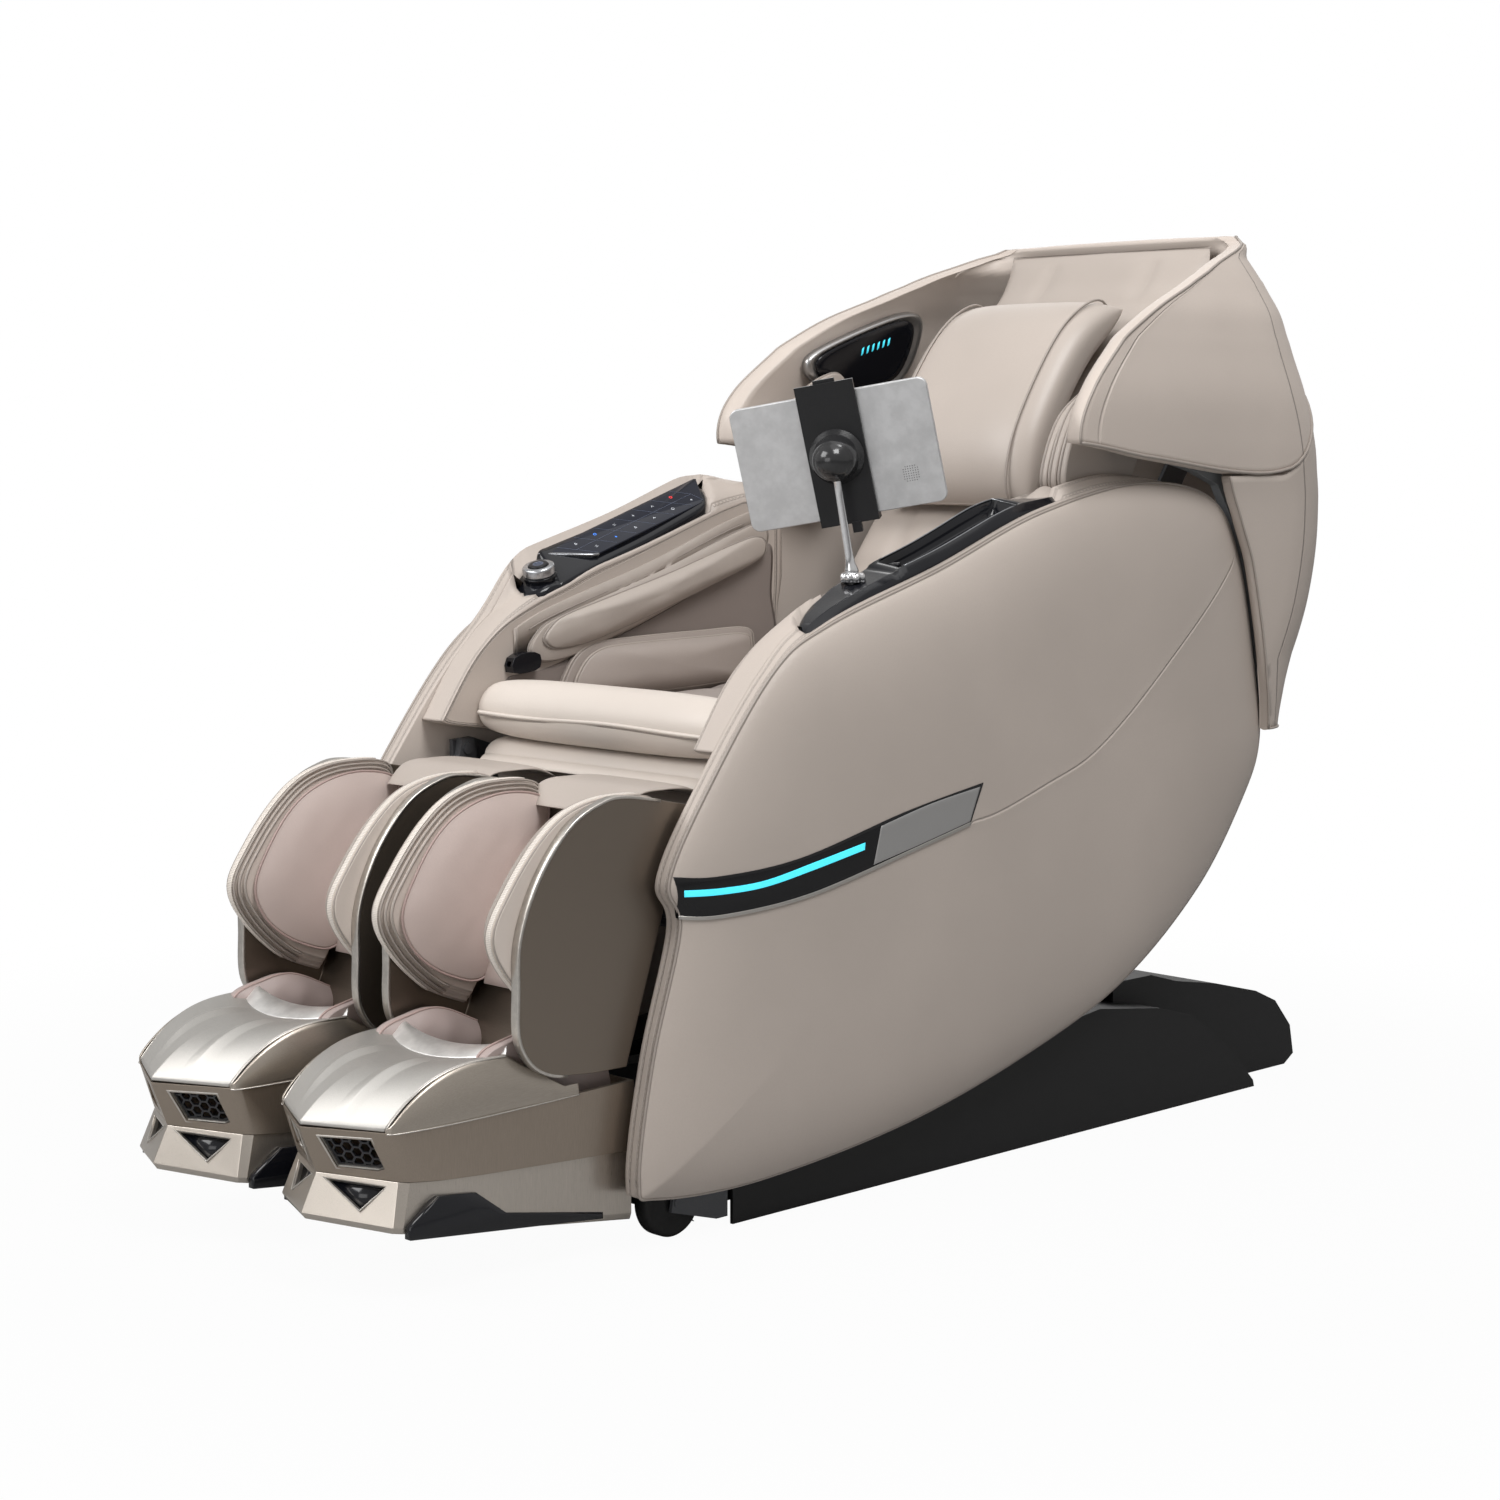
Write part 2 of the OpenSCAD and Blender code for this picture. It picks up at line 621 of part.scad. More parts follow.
module tablet() color(silver) at_tablet()
    translate([0, strap_y + strap_t + gap, 0]) rotate([-90, 0, 0]) linear_extrude(tablet_t) difference() {
        square([tablet_w, tablet_h], center = true);
        for (a = [-1, 1], b = [-1, 1])
            translate([a * tablet_w / 2, b * tablet_h / 2]) difference() {
                square(24, center = true);
                translate([-a * 12, -b * 12]) circle(r = 12);
            }
    }

// ---------- backrest ----------

// [height, half width, rear, corner radius, front edge] of the back, seen from above
back_stations = [
    [548, 340, 825, 190, 712], [592, 343, 852, 200, 705], [652, 345, 898, 200, 695],
    [724, 345, 933, 200, 678], [804, 345, 953, 200, 652], [878, 345, 957, 200, 606],
    [915, 347, 950, 200, 590], [966, 350, 937, 200, 264], [1031, 349, 913, 200, 290],
    [1105, 334, 879, 180, 376], [1149, 322, 856, 160, 466], [1193, 300, 831, 140, 582],
    [1218, 284, 817, 130, 650], [1248, 254, 803, 110, 738], [1263, 236, 799, 100, 780]
];

// A point of the shell's plan: t = 0 at the front edge, 0.4 to 0.85 round the corner, 1 at the middle
function plan_point(t, z, front, inset) =
    let (a = station(back_stations, z, 1) - inset,
         rear = station(back_stations, z, 2) - inset,
         r = max(20, station(back_stations, z, 3) - inset),
         ry = min(r, rear - front))
    t < 0.4 ? [a, front + (rear - ry - front) * t / 0.4, z] :
    t < 0.85 ? let (g = (t - 0.4) / 0.45 * 90) [a - r + r * cos(g), rear - ry + ry * sin(g), z] :
    [(a - r) * (1 - t) / 0.15, rear, z];

// The seam between the hood and the rear shell, as heights along t
seam_heights = [[0, 962], [0.1, 945], [0.3, 920], [0.4, 926], [0.5, 966], [0.62, 1031], [0.8, 1072],
    [1, 1085]];

columns = concat([for (k = [0:11]) [-1, k / 12]], [for (k = [12:-1:0]) [1, k / 12]]);
function mirrored(p, side) = [p[0] * side, p[1], p[2]];

function hood_grid(inset) =
    [for (i = [0:9])
        [for (c = columns)
            let (low = station(seam_heights, c[1], 1), z = low + (1263 - low) * i / 9,
                 front = station([[915, 300], [966, 264], [1031, 290], [1105, 376], [1149, 466],
                     [1193, 582], [1218, 650], [1248, 738], [1263, 780]], z, 1),
                 q = plan_point(c[1], z, front + inset * 0.3, inset))
            mirrored(q, c[0])]];

module head_hood() color(hide) slab(hood_grid(0), hood_grid(hood_wall));

shell_front = [[548, 714], [620, 702], [708, 684], [795, 660], [860, 628], [918, 600]];

function shell_grid(inset) =
    [for (i = [0:8])
        [for (c = columns)
            let (high = station(seam_heights, max(c[1], 0.33), 1) - 4, z = 548 + (high - 548) * i / 8,
                 q = plan_point(c[1], z, station(shell_front, z, 1), inset))
            mirrored(q, c[0])]];

module back_shell() color(hide) slab(shell_grid(0), shell_grid(shell_wall));

// Dark skirts between the side panels, the hood and the rear shell
skirt_outline = [[390, 950], [480, 940], [560, 922], [616, 902], [662, 834], [694, 748], [720, 640],
    [734, 560], [742, 562], [742, 640], [720, 748], [688, 838], [658, 896], [622, 918], [560, 938],
    [480, 954], [390, 966]];

module side_plates() color([0.2, 0.22, 0.25]) both_sides() {
    plate(skirt_outline, 300, 345 - hood_wall - gap);
    // Rib that the shoulder air bag is fixed to
    plate([[395, 952], [466, 943], [466, 955], [395, 964]], panel_inner - gap, 301);
}

// Frame of the back: rails along the lean of the back
lean = 36.5;
back_foot = [400, 600];
up_back = [sin(lean), cos(lean)];
to_front = [-cos(lean), sin(lean)];
function on_back(s, n) = back_foot + up_back * s + to_front * n;

rail_x = 218;
rail_t = 6;
rail_from = 0;
rail_to = 640;
shell_strut = [764, 716];

module back_frame() color(steel) {
    both_sides() {
        difference() {
            plate([on_back(rail_from - 30, -22), on_back(rail_to, -22), on_back(rail_to, 22),
                on_back(rail_from, 22)], rail_x, rail_x + rail_t);
            plate([on_back(rail_from + 60, -6), on_back(rail_to - 40, -6), on_back(rail_to - 40, 6),
                on_back(rail_from + 60, 6)], rail_x - 1, rail_x + 4);
        }
        difference() {
            plate([[360, 455], [395, 448], [408, 470], [440, 560], [420, 640], [390, 630], [360, 560]],
                frame_x - plate_t - 12, frame_x - plate_t - gap);
            bar(recline_pivot, recline_pin_d + 2 * fit, 0, panel_inner);
        }
        bar([400, 590], 24, rail_x + 1, frame_x - plate_t - 4);
    }
    for (s = [rail_from + 4, rail_to - 14])
        bar(on_back(s, 0), 22, -rail_x - 2, rail_x + 2);
    // Struts that carry the hood and the rear shell
    both_sides() {
        bar(on_back(rail_to - 60, 0), 18, rail_x + 1, 302.6);
        bar(shell_strut, 18, -1, 321.3);
        plate([on_back(200, -21), on_back(300, -21), shell_strut + [8, 8], shell_strut - [8, 8]],
            rail_x, rail_x + rail_t);
    }
}

// ---------- pads of the backrest ----------

pad_face = 150;
mat_path = curve([on_back(0, pad_face - 46), on_back(130, pad_face - 42), on_back(330, pad_face - 47),
    on_back(520, pad_face - 40), on_back(640, pad_face - 66), on_back(721.6, pad_face - 89.5)], 3);

module back_pad() color(hide) cushion(mat_path, mat_half, mat_thick, 7, 6);

pillow_path = curve([on_back(222, pad_face + 8), on_back(320, pad_face + 42),
    on_back(470, pad_face + 46), on_back(570, pad_face + 12)], 3);

module head_pillow() color(hide) cushion(pillow_path, 150, pillow_thick, 6);

module shoulder_bags() color(hide) both_sides()
    crowned(ring([[306, 912], [345, 1010], [425, 1064], [466, 1050], [470, 960], [420, 880], [350, 880]], 2),
        panel_inner - 2 * gap, 226, 32);

speaker_at = [300.5, 1095];
speaker_lean = 13;

module speakers() color(black) both_sides()
    translate([speaker_at[0], 0, speaker_at[1]]) rotate([0, -speaker_lean, 0])
        crowned(ring([[399, -24], [420, 9], [587, 68], [640, 52], [612, -35], [498, -60], [440, -50]], 2),
            0, -16, 6);

// ---------- massage mechanism ----------

carriage_s = 120;
arm_pivot_n = 2;
roller_n = 25;
knead_pivot = on_back(carriage_s, arm_pivot_n);

module massage_carriage() color(steel) {
    plate([on_back(carriage_s - 60, -40), on_back(carriage_s + 60, -40), on_back(carriage_s + 60, -14),
        on_back(carriage_s - 60, -14)], -rail_x + 12, rail_x - 12);
    both_sides() {
        plate([on_back(carriage_s - 60, -20), on_back(carriage_s + 60, -20), on_back(carriage_s + 60, 20),
            on_back(carriage_s - 60, 20)], rail_x - 12, rail_x - gap);
        for (s = [-45, 45])
            bar(on_back(carriage_s + s, 0), 11.4, rail_x - 2, rail_x + 3.7);
    }
    bar(knead_pivot, 20, -rail_x + 10, rail_x - 10);
    bar(on_back(carriage_s, -74), 70, -90, 30);
}

module knead_arms() color(silver)
    for (side = [-1, 1]) let (x = side * roller_span / 2) difference() {
        union() {
            bar(knead_pivot, 30, x - 9, x + 9);
            plate([on_back(carriage_s - 68, roller_n - 10), on_back(carriage_s - 58, roller_n + 10),
                on_back(carriage_s, 16), on_back(carriage_s + 58, roller_n + 10),
                on_back(carriage_s + 68, roller_n - 10), on_back(carriage_s + 12, -12),
                on_back(carriage_s - 12, -12)], x - 7, x + 7);
            for (s = [-60, 60])
                bar(on_back(carriage_s + s, roller_n), axle_d, x, x + side * (roller_w + 12));
        }
        bar(knead_pivot, 20 + 2 * fit, x - 20, x + 20);
    }

module back_rollers(s) color(cream)
    for (side = [-1, 1]) let (x = side * (roller_span / 2 + 7 + gap)) difference() {
        bar(on_back(carriage_s + s, roller_n), roller_d, x, x + side * roller_w);
        bar(on_back(carriage_s + s, roller_n), axle_d + 2 * fit, x - side, x + side * (roller_w + 1));
    }

module rollers_upper() back_rollers(60);
module rollers_lower() back_rollers(-60);

// ---------- legrest ----------

calf_outline = curve([[-487, 224], [-600, 230], [-648, 270], [-652, 340], [-648, 400], [-620, 464],
    [-575, 518], [-528, 543], [-482, 548], [-385, 530]], 2);
trough_outline = curve([[-560, 200], [-520, 295], [-468, 400], [-420, 470], [-380, 560],
    [-560, 600], [-740, 500], [-740, 250]], 1);
liner_outline = curve([[-545, 276], [-600, 300], [-655, 350], [-678, 400], [-651, 452],
    [-606, 505], [-560, 536], [-498, 548], [-428, 538], [-436, 480], [-482, 400], [-530, 300]], 2);

module legs() {
    for (side = [-1, 1]) translate([side * leg_x, 0, 0]) children();
}

module calf_shells() color(champagne) legs() difference() {
    plate(calf_outline, -calf_half, calf_half);
    plate(trough_outline, -calf_half + calf_wall, calf_half - calf_wall);
}

// A point of the shells' straight rear edge, from its top (0) to its bottom (1)
function calf_rear(t) = [-385, 530] * (1 - t) + [-487, 224] * t;
rear_normal = [0.949, -0.316];
lift_tube = calf_rear(0.42) + rear_normal * 34;

liner_outer = calf_half - calf_wall - gap;

module calf_liners() color(hide) legs() both_sides()
    crowned(liner_outline, liner_outer, liner_outer - liner_thick, 10);

pad_outline = ring([[-520, 330], [-600, 350], [-640, 400], [-600, 480], [-540, 515], [-470, 500],
    [-470, 430]], 2);
pad_outer = liner_outer - liner_thick - gap;

module calf_pads() color(mauve) legs() both_sides()
    crowned(pad_outline, pad_outer, pad_outer - 20, 14);

module legrest_frame() color(steel) {
    both_sides() difference() {
        plate([[-300, 562], [-280, 562], [-274, 540], [-300, 470], [-390, 380], [-420, 400], [-330, 500],
            [-304, 540]], frame_x - plate_t - 12, frame_x - plate_t - gap);
        bar(lift_pivot, lift_pin_d + 2 * fit, 0, panel_inner);
    }
    bar(lift_tube, 24, -frame_x + plate_t + 2, frame_x - plate_t - 2);
    // Ribs that carry the calf shells
    legs() for (x = [-70, 60])
        plate([calf_rear(0.12), calf_rear(0.9), calf_rear(0.86) + rear_normal * 34,
            calf_rear(0.3) + rear_normal * 44], x, x + 10);
}

// ---------- foot massagers ----------

// Rows of the foot massager's body from its floor up:
// [nose y, front corner x, front corner y, side x, rear x, height at the nose, height at the rear]
foot_rows = [
    [-800, 72, -772, 100, 106, 92, 31], [-862, 104, -816, 119, 119, 86, 34],
    [-868, 108, -819, 122, 122, 94, 42], [-846, 97, -803, 122, 122, 138, 120],
    [-846.5, 97.5, -803, 125, 126, 138.3, 120.3], [-868, 100, -821, 125, 127, 193, 205]
];
foot_rear = -474;
bonnet_rear = -658;
bonnet_side = 112;
bonnet_rise = 64;

// One row as a closed ring; with `rim`, its sides rise to the bonnet's seam
function foot_row(k, inset = 0, rim = false) =
    let (f = foot_half / 127, nose = k[0] + inset * 1.1, cx = k[1] - inset, cy = k[2] + inset,
         sx = k[3] - inset, rx = k[4] - inset,
         h = [[0, nose], [cx * 0.4, nose + (cy - nose) * 0.4], [cx, cy], [cx + (sx - cx) * 0.35, cy + 10],
             [sx - 6, -760], [sx - 1, -705], [sx, bonnet_rear], [rx, -606], [rx, foot_rear - inset],
             [rx / 2, foot_rear - inset]],
         all = concat(h, [[0, foot_rear - inset]], [for (i = [len(h) - 1:-1:1]) [-h[i][0], h[i][1]]]))
    [for (p = all)
        let (z = k[5] + (k[6] - k[5]) * (p[1] - k[0]) / (foot_rear - k[0]))
        rim ? let (q = seam_lift(p[1])) [p[0] * f * (1 - 0.13 * q), p[1], z + 1 + q * 52] :
        [p[0] * f, p[1], z]];

// How far the seam has risen at y: 0 at the front corner, 1 at the bonnet's rear, 0 behind it
function seam_lift(y) = y < bonnet_rear ? 1 - pow(1 - max(0, (y + 821) / (bonnet_rear + 821)), 3) :
    max(0, 1 - (y - bonnet_rear) / 52) * 0.999;

module foot_body(inset, from, to, rim) {
    loft(concat(
        [for (i = [from:to]) foot_row(foot_rows[i], inset)],
        rim ? [foot_row(foot_rows[to], inset, true)] : []));
}

// A point of the bonnet: u from side to side, v from the front edge to the collar
function bonnet_point(u, v) =
    let (front = [98 * u, -867 + 47 * abs(u), 199],
         rear = [bonnet_side * u, -692 + (bonnet_rear + 692) * pow(abs(u), 2), 249 + 12 * u * u],
         rise = 1 - pow(1 - v, 3),
         ridge = 5 * sin(180 * v) * max(0, 1 - abs(abs(u) - 0.42) / 0.14))
    [front[0] + (rear[0] - front[0]) * v, front[1] + (rear[1] - front[1]) * v,
        front[2] + (rear[2] - front[2]) * rise + ridge + 6 * (1 - pow(abs(u), 4)) * sin(180 * v)];

function bonnet_grid(drop) =
    [for (j = [0:8]) [for (i = [-10:10])
        bonnet_point(i / 10 * (1 - drop * 0.004), j / 8) - [0, 0, drop]]];

module foot_bonnets() color(silver) legs()
    scale([foot_half / 127, 1, 1]) translate([0, 0, 1.6]) slab(bonnet_grid(0), bonnet_grid(foot_wall - 1));

// The bright collar round the foot opening, behind the bonnet
function collar_grid(drop) =
    [for (j = [0:3]) [for (i = [-10:10])
        let (v = j / 3, p = bonnet_point(i / 10, 1))
        [p[0] * (1 - 0.1 * v), p[1] + gap + 34 * v * (1 - 0.7 * pow(i / 10, 2)), p[2] + 16 * sin(90 * v) - drop]]];

module foot_collars() color(silver) legs()
    translate([0, 0, 1.6]) slab(collar_grid(0), collar_grid(foot_wall - 1));

module foot_tubs() color(champagne) legs() difference() {
    foot_body(0, 4, 5, true);
    translate([0, 0, 6]) foot_body(foot_wall, 4, 5, true);
    translate([0, 0, 60]) foot_body(foot_wall, 4, 5, true);
    on_face() translate([0, 0, -12]) linear_extrude(40) grille_outline(0);
    for (at = sole_axes)
        bar(at, 8 + 2 * fit, -axle_half - gap, axle_half + gap);
}

module foot_lips() color(champagne) legs() difference() {
    foot_body(0, 0, 3, false);
    on_chin() translate([0, 0, -9]) linear_extrude(40)
        polygon([[16, -7], [90, -10], [64, -38]]);
}

// Places a flat shape on each half of the V-shaped front: x outwards from the nose, y up
face_turn = atan((868 - 820) / 100);
face_lean = atan(20 / 57);
chin_lean = atan(22 / 44);

module on_face() both_sides()
    translate([0, -847, 140]) rotate([0, 0, face_turn]) rotate([90 + face_lean, 0, 0]) children();

module on_chin() both_sides()
    translate([0, -846, 138]) rotate([0, 0, face_turn]) rotate([90 - chin_lean, 0, 0]) children();

module grille_outline(inset) {
    polygon([[15 + inset, 46 - inset], [80 - inset, 48 - inset], [92 - inset * 1.6, 12 + inset],
        [82 - inset, 8 + inset], [30 + inset, 8 + inset]]);
}

module foot_grilles() color(black) legs() on_face() translate([0, 0, -7]) linear_extrude(3)
    difference() {
        grille_outline(gap);
        intersection() {
            grille_outline(3);
            for (i = [-1:10], j = [-1:6])
                translate([i * (cell + web) * 0.866 + 10, (j + (i % 2 == 0 ? 0 : 0.5)) * (cell + web)])
                    circle(d = cell / 0.866, $fn = 6);
        }
    }

foot_pad_outline = ring([[-492, 168], [-496, 206], [-590, 214], [-636, 242], [-672, 246], [-668, 196],
    [-600, 164]], 2);

module foot_pads() color(mauve) legs() both_sides()
    crowned(foot_pad_outline, 106, 68, 22);

sole_axes = [[-560, 158], [-690, 168]];
axle_half = foot_half - 5.4;

module foot_frame() color(steel) legs() {
    // Slide tubes that run in the legrest's ribs
    for (x = [-60 + gap, 46 - gap])
        plate([calf_rear(0.62) + rear_normal * 12, calf_rear(1.03) + rear_normal * 12,
            calf_rear(1.03) + rear_normal * 26, calf_rear(0.62) + rear_normal * 26], x, x + 14);
    plate([[-484, 216], [foot_rear + gap, 206.6], [foot_rear + gap, 140], [-464, 140], [-462, 216]], -58, 58);
    for (at = sole_axes)
        bar(at, 8, -axle_half, axle_half);
}

module sole_roller(at) {
    color(cream) legs() difference() {
        bar(at, sole_roller_d, -50, 50);
        bar(at, 8 + 2 * fit, -60, 60);
    }
}

module sole_roller_front() sole_roller(sole_axes[1]);
module sole_roller_rear() sole_roller(sole_axes[0]);

// ---------- base ----------

base_side = [[-382, 34], [-352, 4], [-344, 0], [767, 0], [764, 10], [718, 55], [655, 102], [606, 132],
    [534, 152], [397, 170], [0, 120], [-300, 90], [-370, 60]];
tail_side = [[500, 0], [927, 0], [950, 14], [940, 60], [900, 104], [849, 126], [748, 151], [649, 168],
    [589, 185], [500, 185]];

module base_cover() color(black) difference() {
    union() {
        plate(base_side, -base_half, base_half);
        plate(tail_side, -230, 230);
    }
    translate([0, 0, -1]) plate([for (p = base_side) [p[0] * 0.98 + 4, p[1] - base_wall]],
        -base_half + base_wall, base_half - base_wall);
    translate([0, 0, -1]) plate([for (p = tail_side) [min(p[0], 940), p[1] - base_wall]],
        -230 + base_wall, 230 - base_wall);
    translate([-200, -360, 20]) cube([400, 770, 300]);
    both_sides() translate([wheel_x - wheel_w / 2 - 9, -500, -1]) cube([60, 182, 200]);
    translate([-box_w / 2 - gap, 870, box_z - gap]) cube([box_w + 2 * gap, 90, box_h + 2 * gap]);
}

wheel_x = base_half - 21;
rail_half = base_half - 99;
rail_w = 30;

module base_frame() color(steel) {
    both_sides() {
        translate([rail_half, -340, 6]) cube([rail_w, 1030, 40]);
        difference() {
            translate([track_x, -340, 44]) cube([26, 800, 48]);
            translate([track_x - 1, -330, 56]) cube([20, 780, 2 * roll_r + 2 * gap]);
        }
        for (x = [wheel_x - wheel_w / 2 - 7, wheel_x + wheel_w / 2 + 2])
            plate([[-420, 34], [-416, 56], [-400, 60], [-326, 46], [-326, 12], [-345, 12]], x, x + 5);
        translate([rail_half + rail_w - 5, -340, 12])
            cube([wheel_x + wheel_w / 2 + 12 - rail_half - rail_w, 14, 34]);
        bar(wheel_axis, wheel_axle_d, wheel_x - wheel_w / 2 - 8, wheel_x + wheel_w / 2 + 8);
    }
    cover_half = base_half - base_wall - gap;
    for (at = [[-340, rail_half + 25], [-15, rail_half + 25], [250, cover_half], [660, cover_half]])
        translate([-at[1], at[0], 6]) cube([2 * at[1], 30, 38]);
    translate([-40, 680, 6]) cube([80, 190, 14]);
}

module base_feet() color(black) {
    both_sides() for (y = [-300, 660])
        translate([rail_half + rail_w / 2, y, 0]) cylinder(d = 36, h = 6);
    cylinder(d = 36, h = 6);
}

box_w = 110;
box_h = 44;
box_z = 20;
box_rear = 926;
switch_at = [32, box_rear - 4, box_z + box_h / 2];

module power_box() color(black) difference() {
    translate([-box_w / 2, 860, box_z]) cube([box_w, box_rear - 860, box_h]);
    // Mains inlet
    translate([-34, box_rear - 16, box_z + 12]) cube([26, 17, 20]);
    // Well of the rocker switch
    translate([switch_at[0] - 8, box_rear - 12, switch_at[2] - 13]) cube([16, 13, 26]);
}

module power_switch() color(black) {
    translate([switch_at[0] - 7, switch_at[1] - 2, switch_at[2] - 11]) cube([14, 7, 22]);
    translate([switch_at[0], switch_at[1], switch_at[2]])
        rotate([0, 90, 0]) cylinder(d = 5, h = 16 - 2 * gap, center = true);
}

module wheel(side) {
    x = side * wheel_x;
    color(black) difference() {
        bar(wheel_axis, wheel_d, x - wheel_w / 2, x + wheel_w / 2);
        bar(wheel_axis, wheel_axle_d + 2 * fit, x - wheel_w, x + wheel_w);
    }
}

module wheel_left() wheel(1);
module wheel_right() wheel(-1);

track_x = 150;
roll_r = 11;

module carriage_frame() color(steel) {
    both_sides() {
        translate([track_x - 42, -220, 60]) cube([40, 640, 50]);
        for (y = [-190, 100, 390])
            bar([y, 56 + gap + roll_r], 2 * roll_r, track_x - 3, track_x + 18);
        difference() {
            plate([[240, 100], [280, 268], [320, 268], [400, 100]], track_x - 22, track_x - 8);
            bar([300, 170], 40, 0, panel_inner);
        }
    }
    for (y = [-220, 380])
        translate([-track_x + 20, y, 66]) cube([2 * track_x - 40, 30, 34]);
    bar(tilt_pivot, tilt_pin_d, -frame_x, frame_x);
}

base_cover();
base_frame();
base_feet();
power_box();
power_switch();
wheel_left();
wheel_right();
carriage_frame();
seat_frame();
side_panel_left();
side_panel_right();
side_trims();
led_strips();
arm_left();
arm_right();
arm_bags();
hip_pads();
seat_cushion();
front_roll();
seat_flap();
control_housing();
touch_panel();
knob_ring();
knob_button();
port_housing();
phone_tray();
stalk();
tablet_clamp();
clamp_jaw();
tablet();
back_frame();
back_shell();
head_hood();
speakers();
side_plates();
back_pad();
head_pillow();
shoulder_bags();
massage_carriage();
knead_arms();
rollers_upper();
rollers_lower();
legrest_frame();
calf_shells();
calf_liners();
calf_pads();
foot_frame();
foot_tubs();
foot_bonnets();
foot_collars();
foot_grilles();
foot_lips();
foot_pads();
sole_roller_front();
sole_roller_rear();
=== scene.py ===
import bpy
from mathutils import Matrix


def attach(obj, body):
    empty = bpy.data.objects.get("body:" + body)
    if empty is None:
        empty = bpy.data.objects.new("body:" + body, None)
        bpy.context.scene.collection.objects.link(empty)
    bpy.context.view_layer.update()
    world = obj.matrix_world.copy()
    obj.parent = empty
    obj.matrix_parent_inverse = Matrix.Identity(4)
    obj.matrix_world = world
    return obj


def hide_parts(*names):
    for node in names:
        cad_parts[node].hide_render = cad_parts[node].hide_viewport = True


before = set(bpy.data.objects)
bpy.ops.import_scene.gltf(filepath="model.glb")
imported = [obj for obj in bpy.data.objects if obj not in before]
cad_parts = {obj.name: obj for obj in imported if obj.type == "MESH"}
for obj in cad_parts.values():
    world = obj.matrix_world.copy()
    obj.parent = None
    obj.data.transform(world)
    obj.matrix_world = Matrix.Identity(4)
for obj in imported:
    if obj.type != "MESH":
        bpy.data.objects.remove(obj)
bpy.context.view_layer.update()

import math
import bmesh
import bpy
import numpy as np
from mathutils import Matrix, Vector

# The camera stands at the height of the arms, in front and to the sitter's left.
scene = bpy.context.scene
camera = bpy.data.objects.new("camera", bpy.data.cameras.new("camera"))
scene.collection.objects.link(camera)
camera.data.sensor_width = 36
camera.data.lens = 68.26
camera.location = (2.7742, -2.6966, 0.970)
looks_along = Vector((-0.7138, 0.6917, -0.1094))
camera.rotation_euler = looks_along.to_track_quat("-Z", "Y").to_euler()
scene.camera = camera
scene.view_settings.view_transform = "Standard"


# The studio: a pale floor that shows white to the camera and keeps the chair's shadow,
# a soft lamp in front, a strong one high at the side, three weak ones and a pale surround.
class Tone:
    """One output of a shader node. Arithmetic on it adds Math nodes."""

    def __init__(self, finish, socket):
        self.finish, self.socket = finish, socket

    def __getitem__(self, name):
        return Tone(self.finish, self.socket.node.outputs[name])

    def math(self, operation, *values):
        return self.finish.node("ShaderNodeMath", {"operation": operation}, dict(enumerate(values)))

    def __add__(self, other): return self.math("ADD", self, other)
    def __sub__(self, other): return self.math("SUBTRACT", self, other)
    def __rsub__(self, other): return self.math("SUBTRACT", other, self)
    def __mul__(self, other): return self.math("MULTIPLY", self, other)
    def __abs__(self): return self.math("ABSOLUTE", self)
    def most(self, other): return self.math("MAXIMUM", self, other)
    def wave(self): return self.math("SINE", self)

    def step(self, low, high):
        """0 under low, 1 over high and an S-curve between; low above high runs the other way."""
        curve = self.finish.node(
            "ShaderNodeMapRange", {"interpolation_type": "SMOOTHSTEP"},
            {"Value": self, "From Min": min(low, high), "From Max": max(low, high)})
        return 1 - curve if low > high else curve


class Finish:
    """A material, or the surround, being put together from nodes."""

    def __init__(self, name, holder=None, shader="Principled BSDF"):
        self.material = holder or bpy.data.materials.new(name)
        self.material.use_nodes = True
        self.tree = self.material.node_tree
        self.shader = self.tree.nodes[shader]

    def node(self, kind, settings=None, values=None):
        """Adds a node: its settings first, then values or links for its sockets."""
        node = self.tree.nodes.new(kind)
        for key, setting in (settings or {}).items():
            setattr(node, key, setting)
        for key, value in (values or {}).items():
            self.give(node.inputs[key], value)
        return Tone(self, node.outputs[0])

    def give(self, socket, value):
        if isinstance(value, Tone):
            self.tree.links.new(value.socket, socket)
        else:
            is_colour = isinstance(value, tuple) and socket.type == "RGBA"
            socket.default_value = (*value, 1) if is_colour else value

    def set(self, **values):
        for key, value in values.items():
            self.give(self.shader.inputs[key.replace("_", " ")], value)
        return self.material

    def blend(self, amount, first, second):
        """A colour between two colours; sockets 0, 6 and 7 and output 2 carry them."""
        mixed = self.node("ShaderNodeMix", {"data_type": "RGBA"}, {0: amount, 6: first, 7: second})
        return Tone(self, mixed.socket.node.outputs[2])

    def place(self):
        return self.node("ShaderNodeTexCoord")["Object"]

    def noise(self, where, scale, detail=2.0, rough=0.5):
        return self.node("ShaderNodeTexNoise", {},
                         {"Vector": where, "Scale": scale, "Detail": detail, "Roughness": rough})

    def bump(self, height, depth, strength=1.0, **under):
        return self.node("ShaderNodeBump", {},
                         {"Height": height, "Distance": depth, "Strength": strength, **under})

    def attribute(self, name):
        return self.node("ShaderNodeAttribute", {"attribute_name": name})["Fac"]


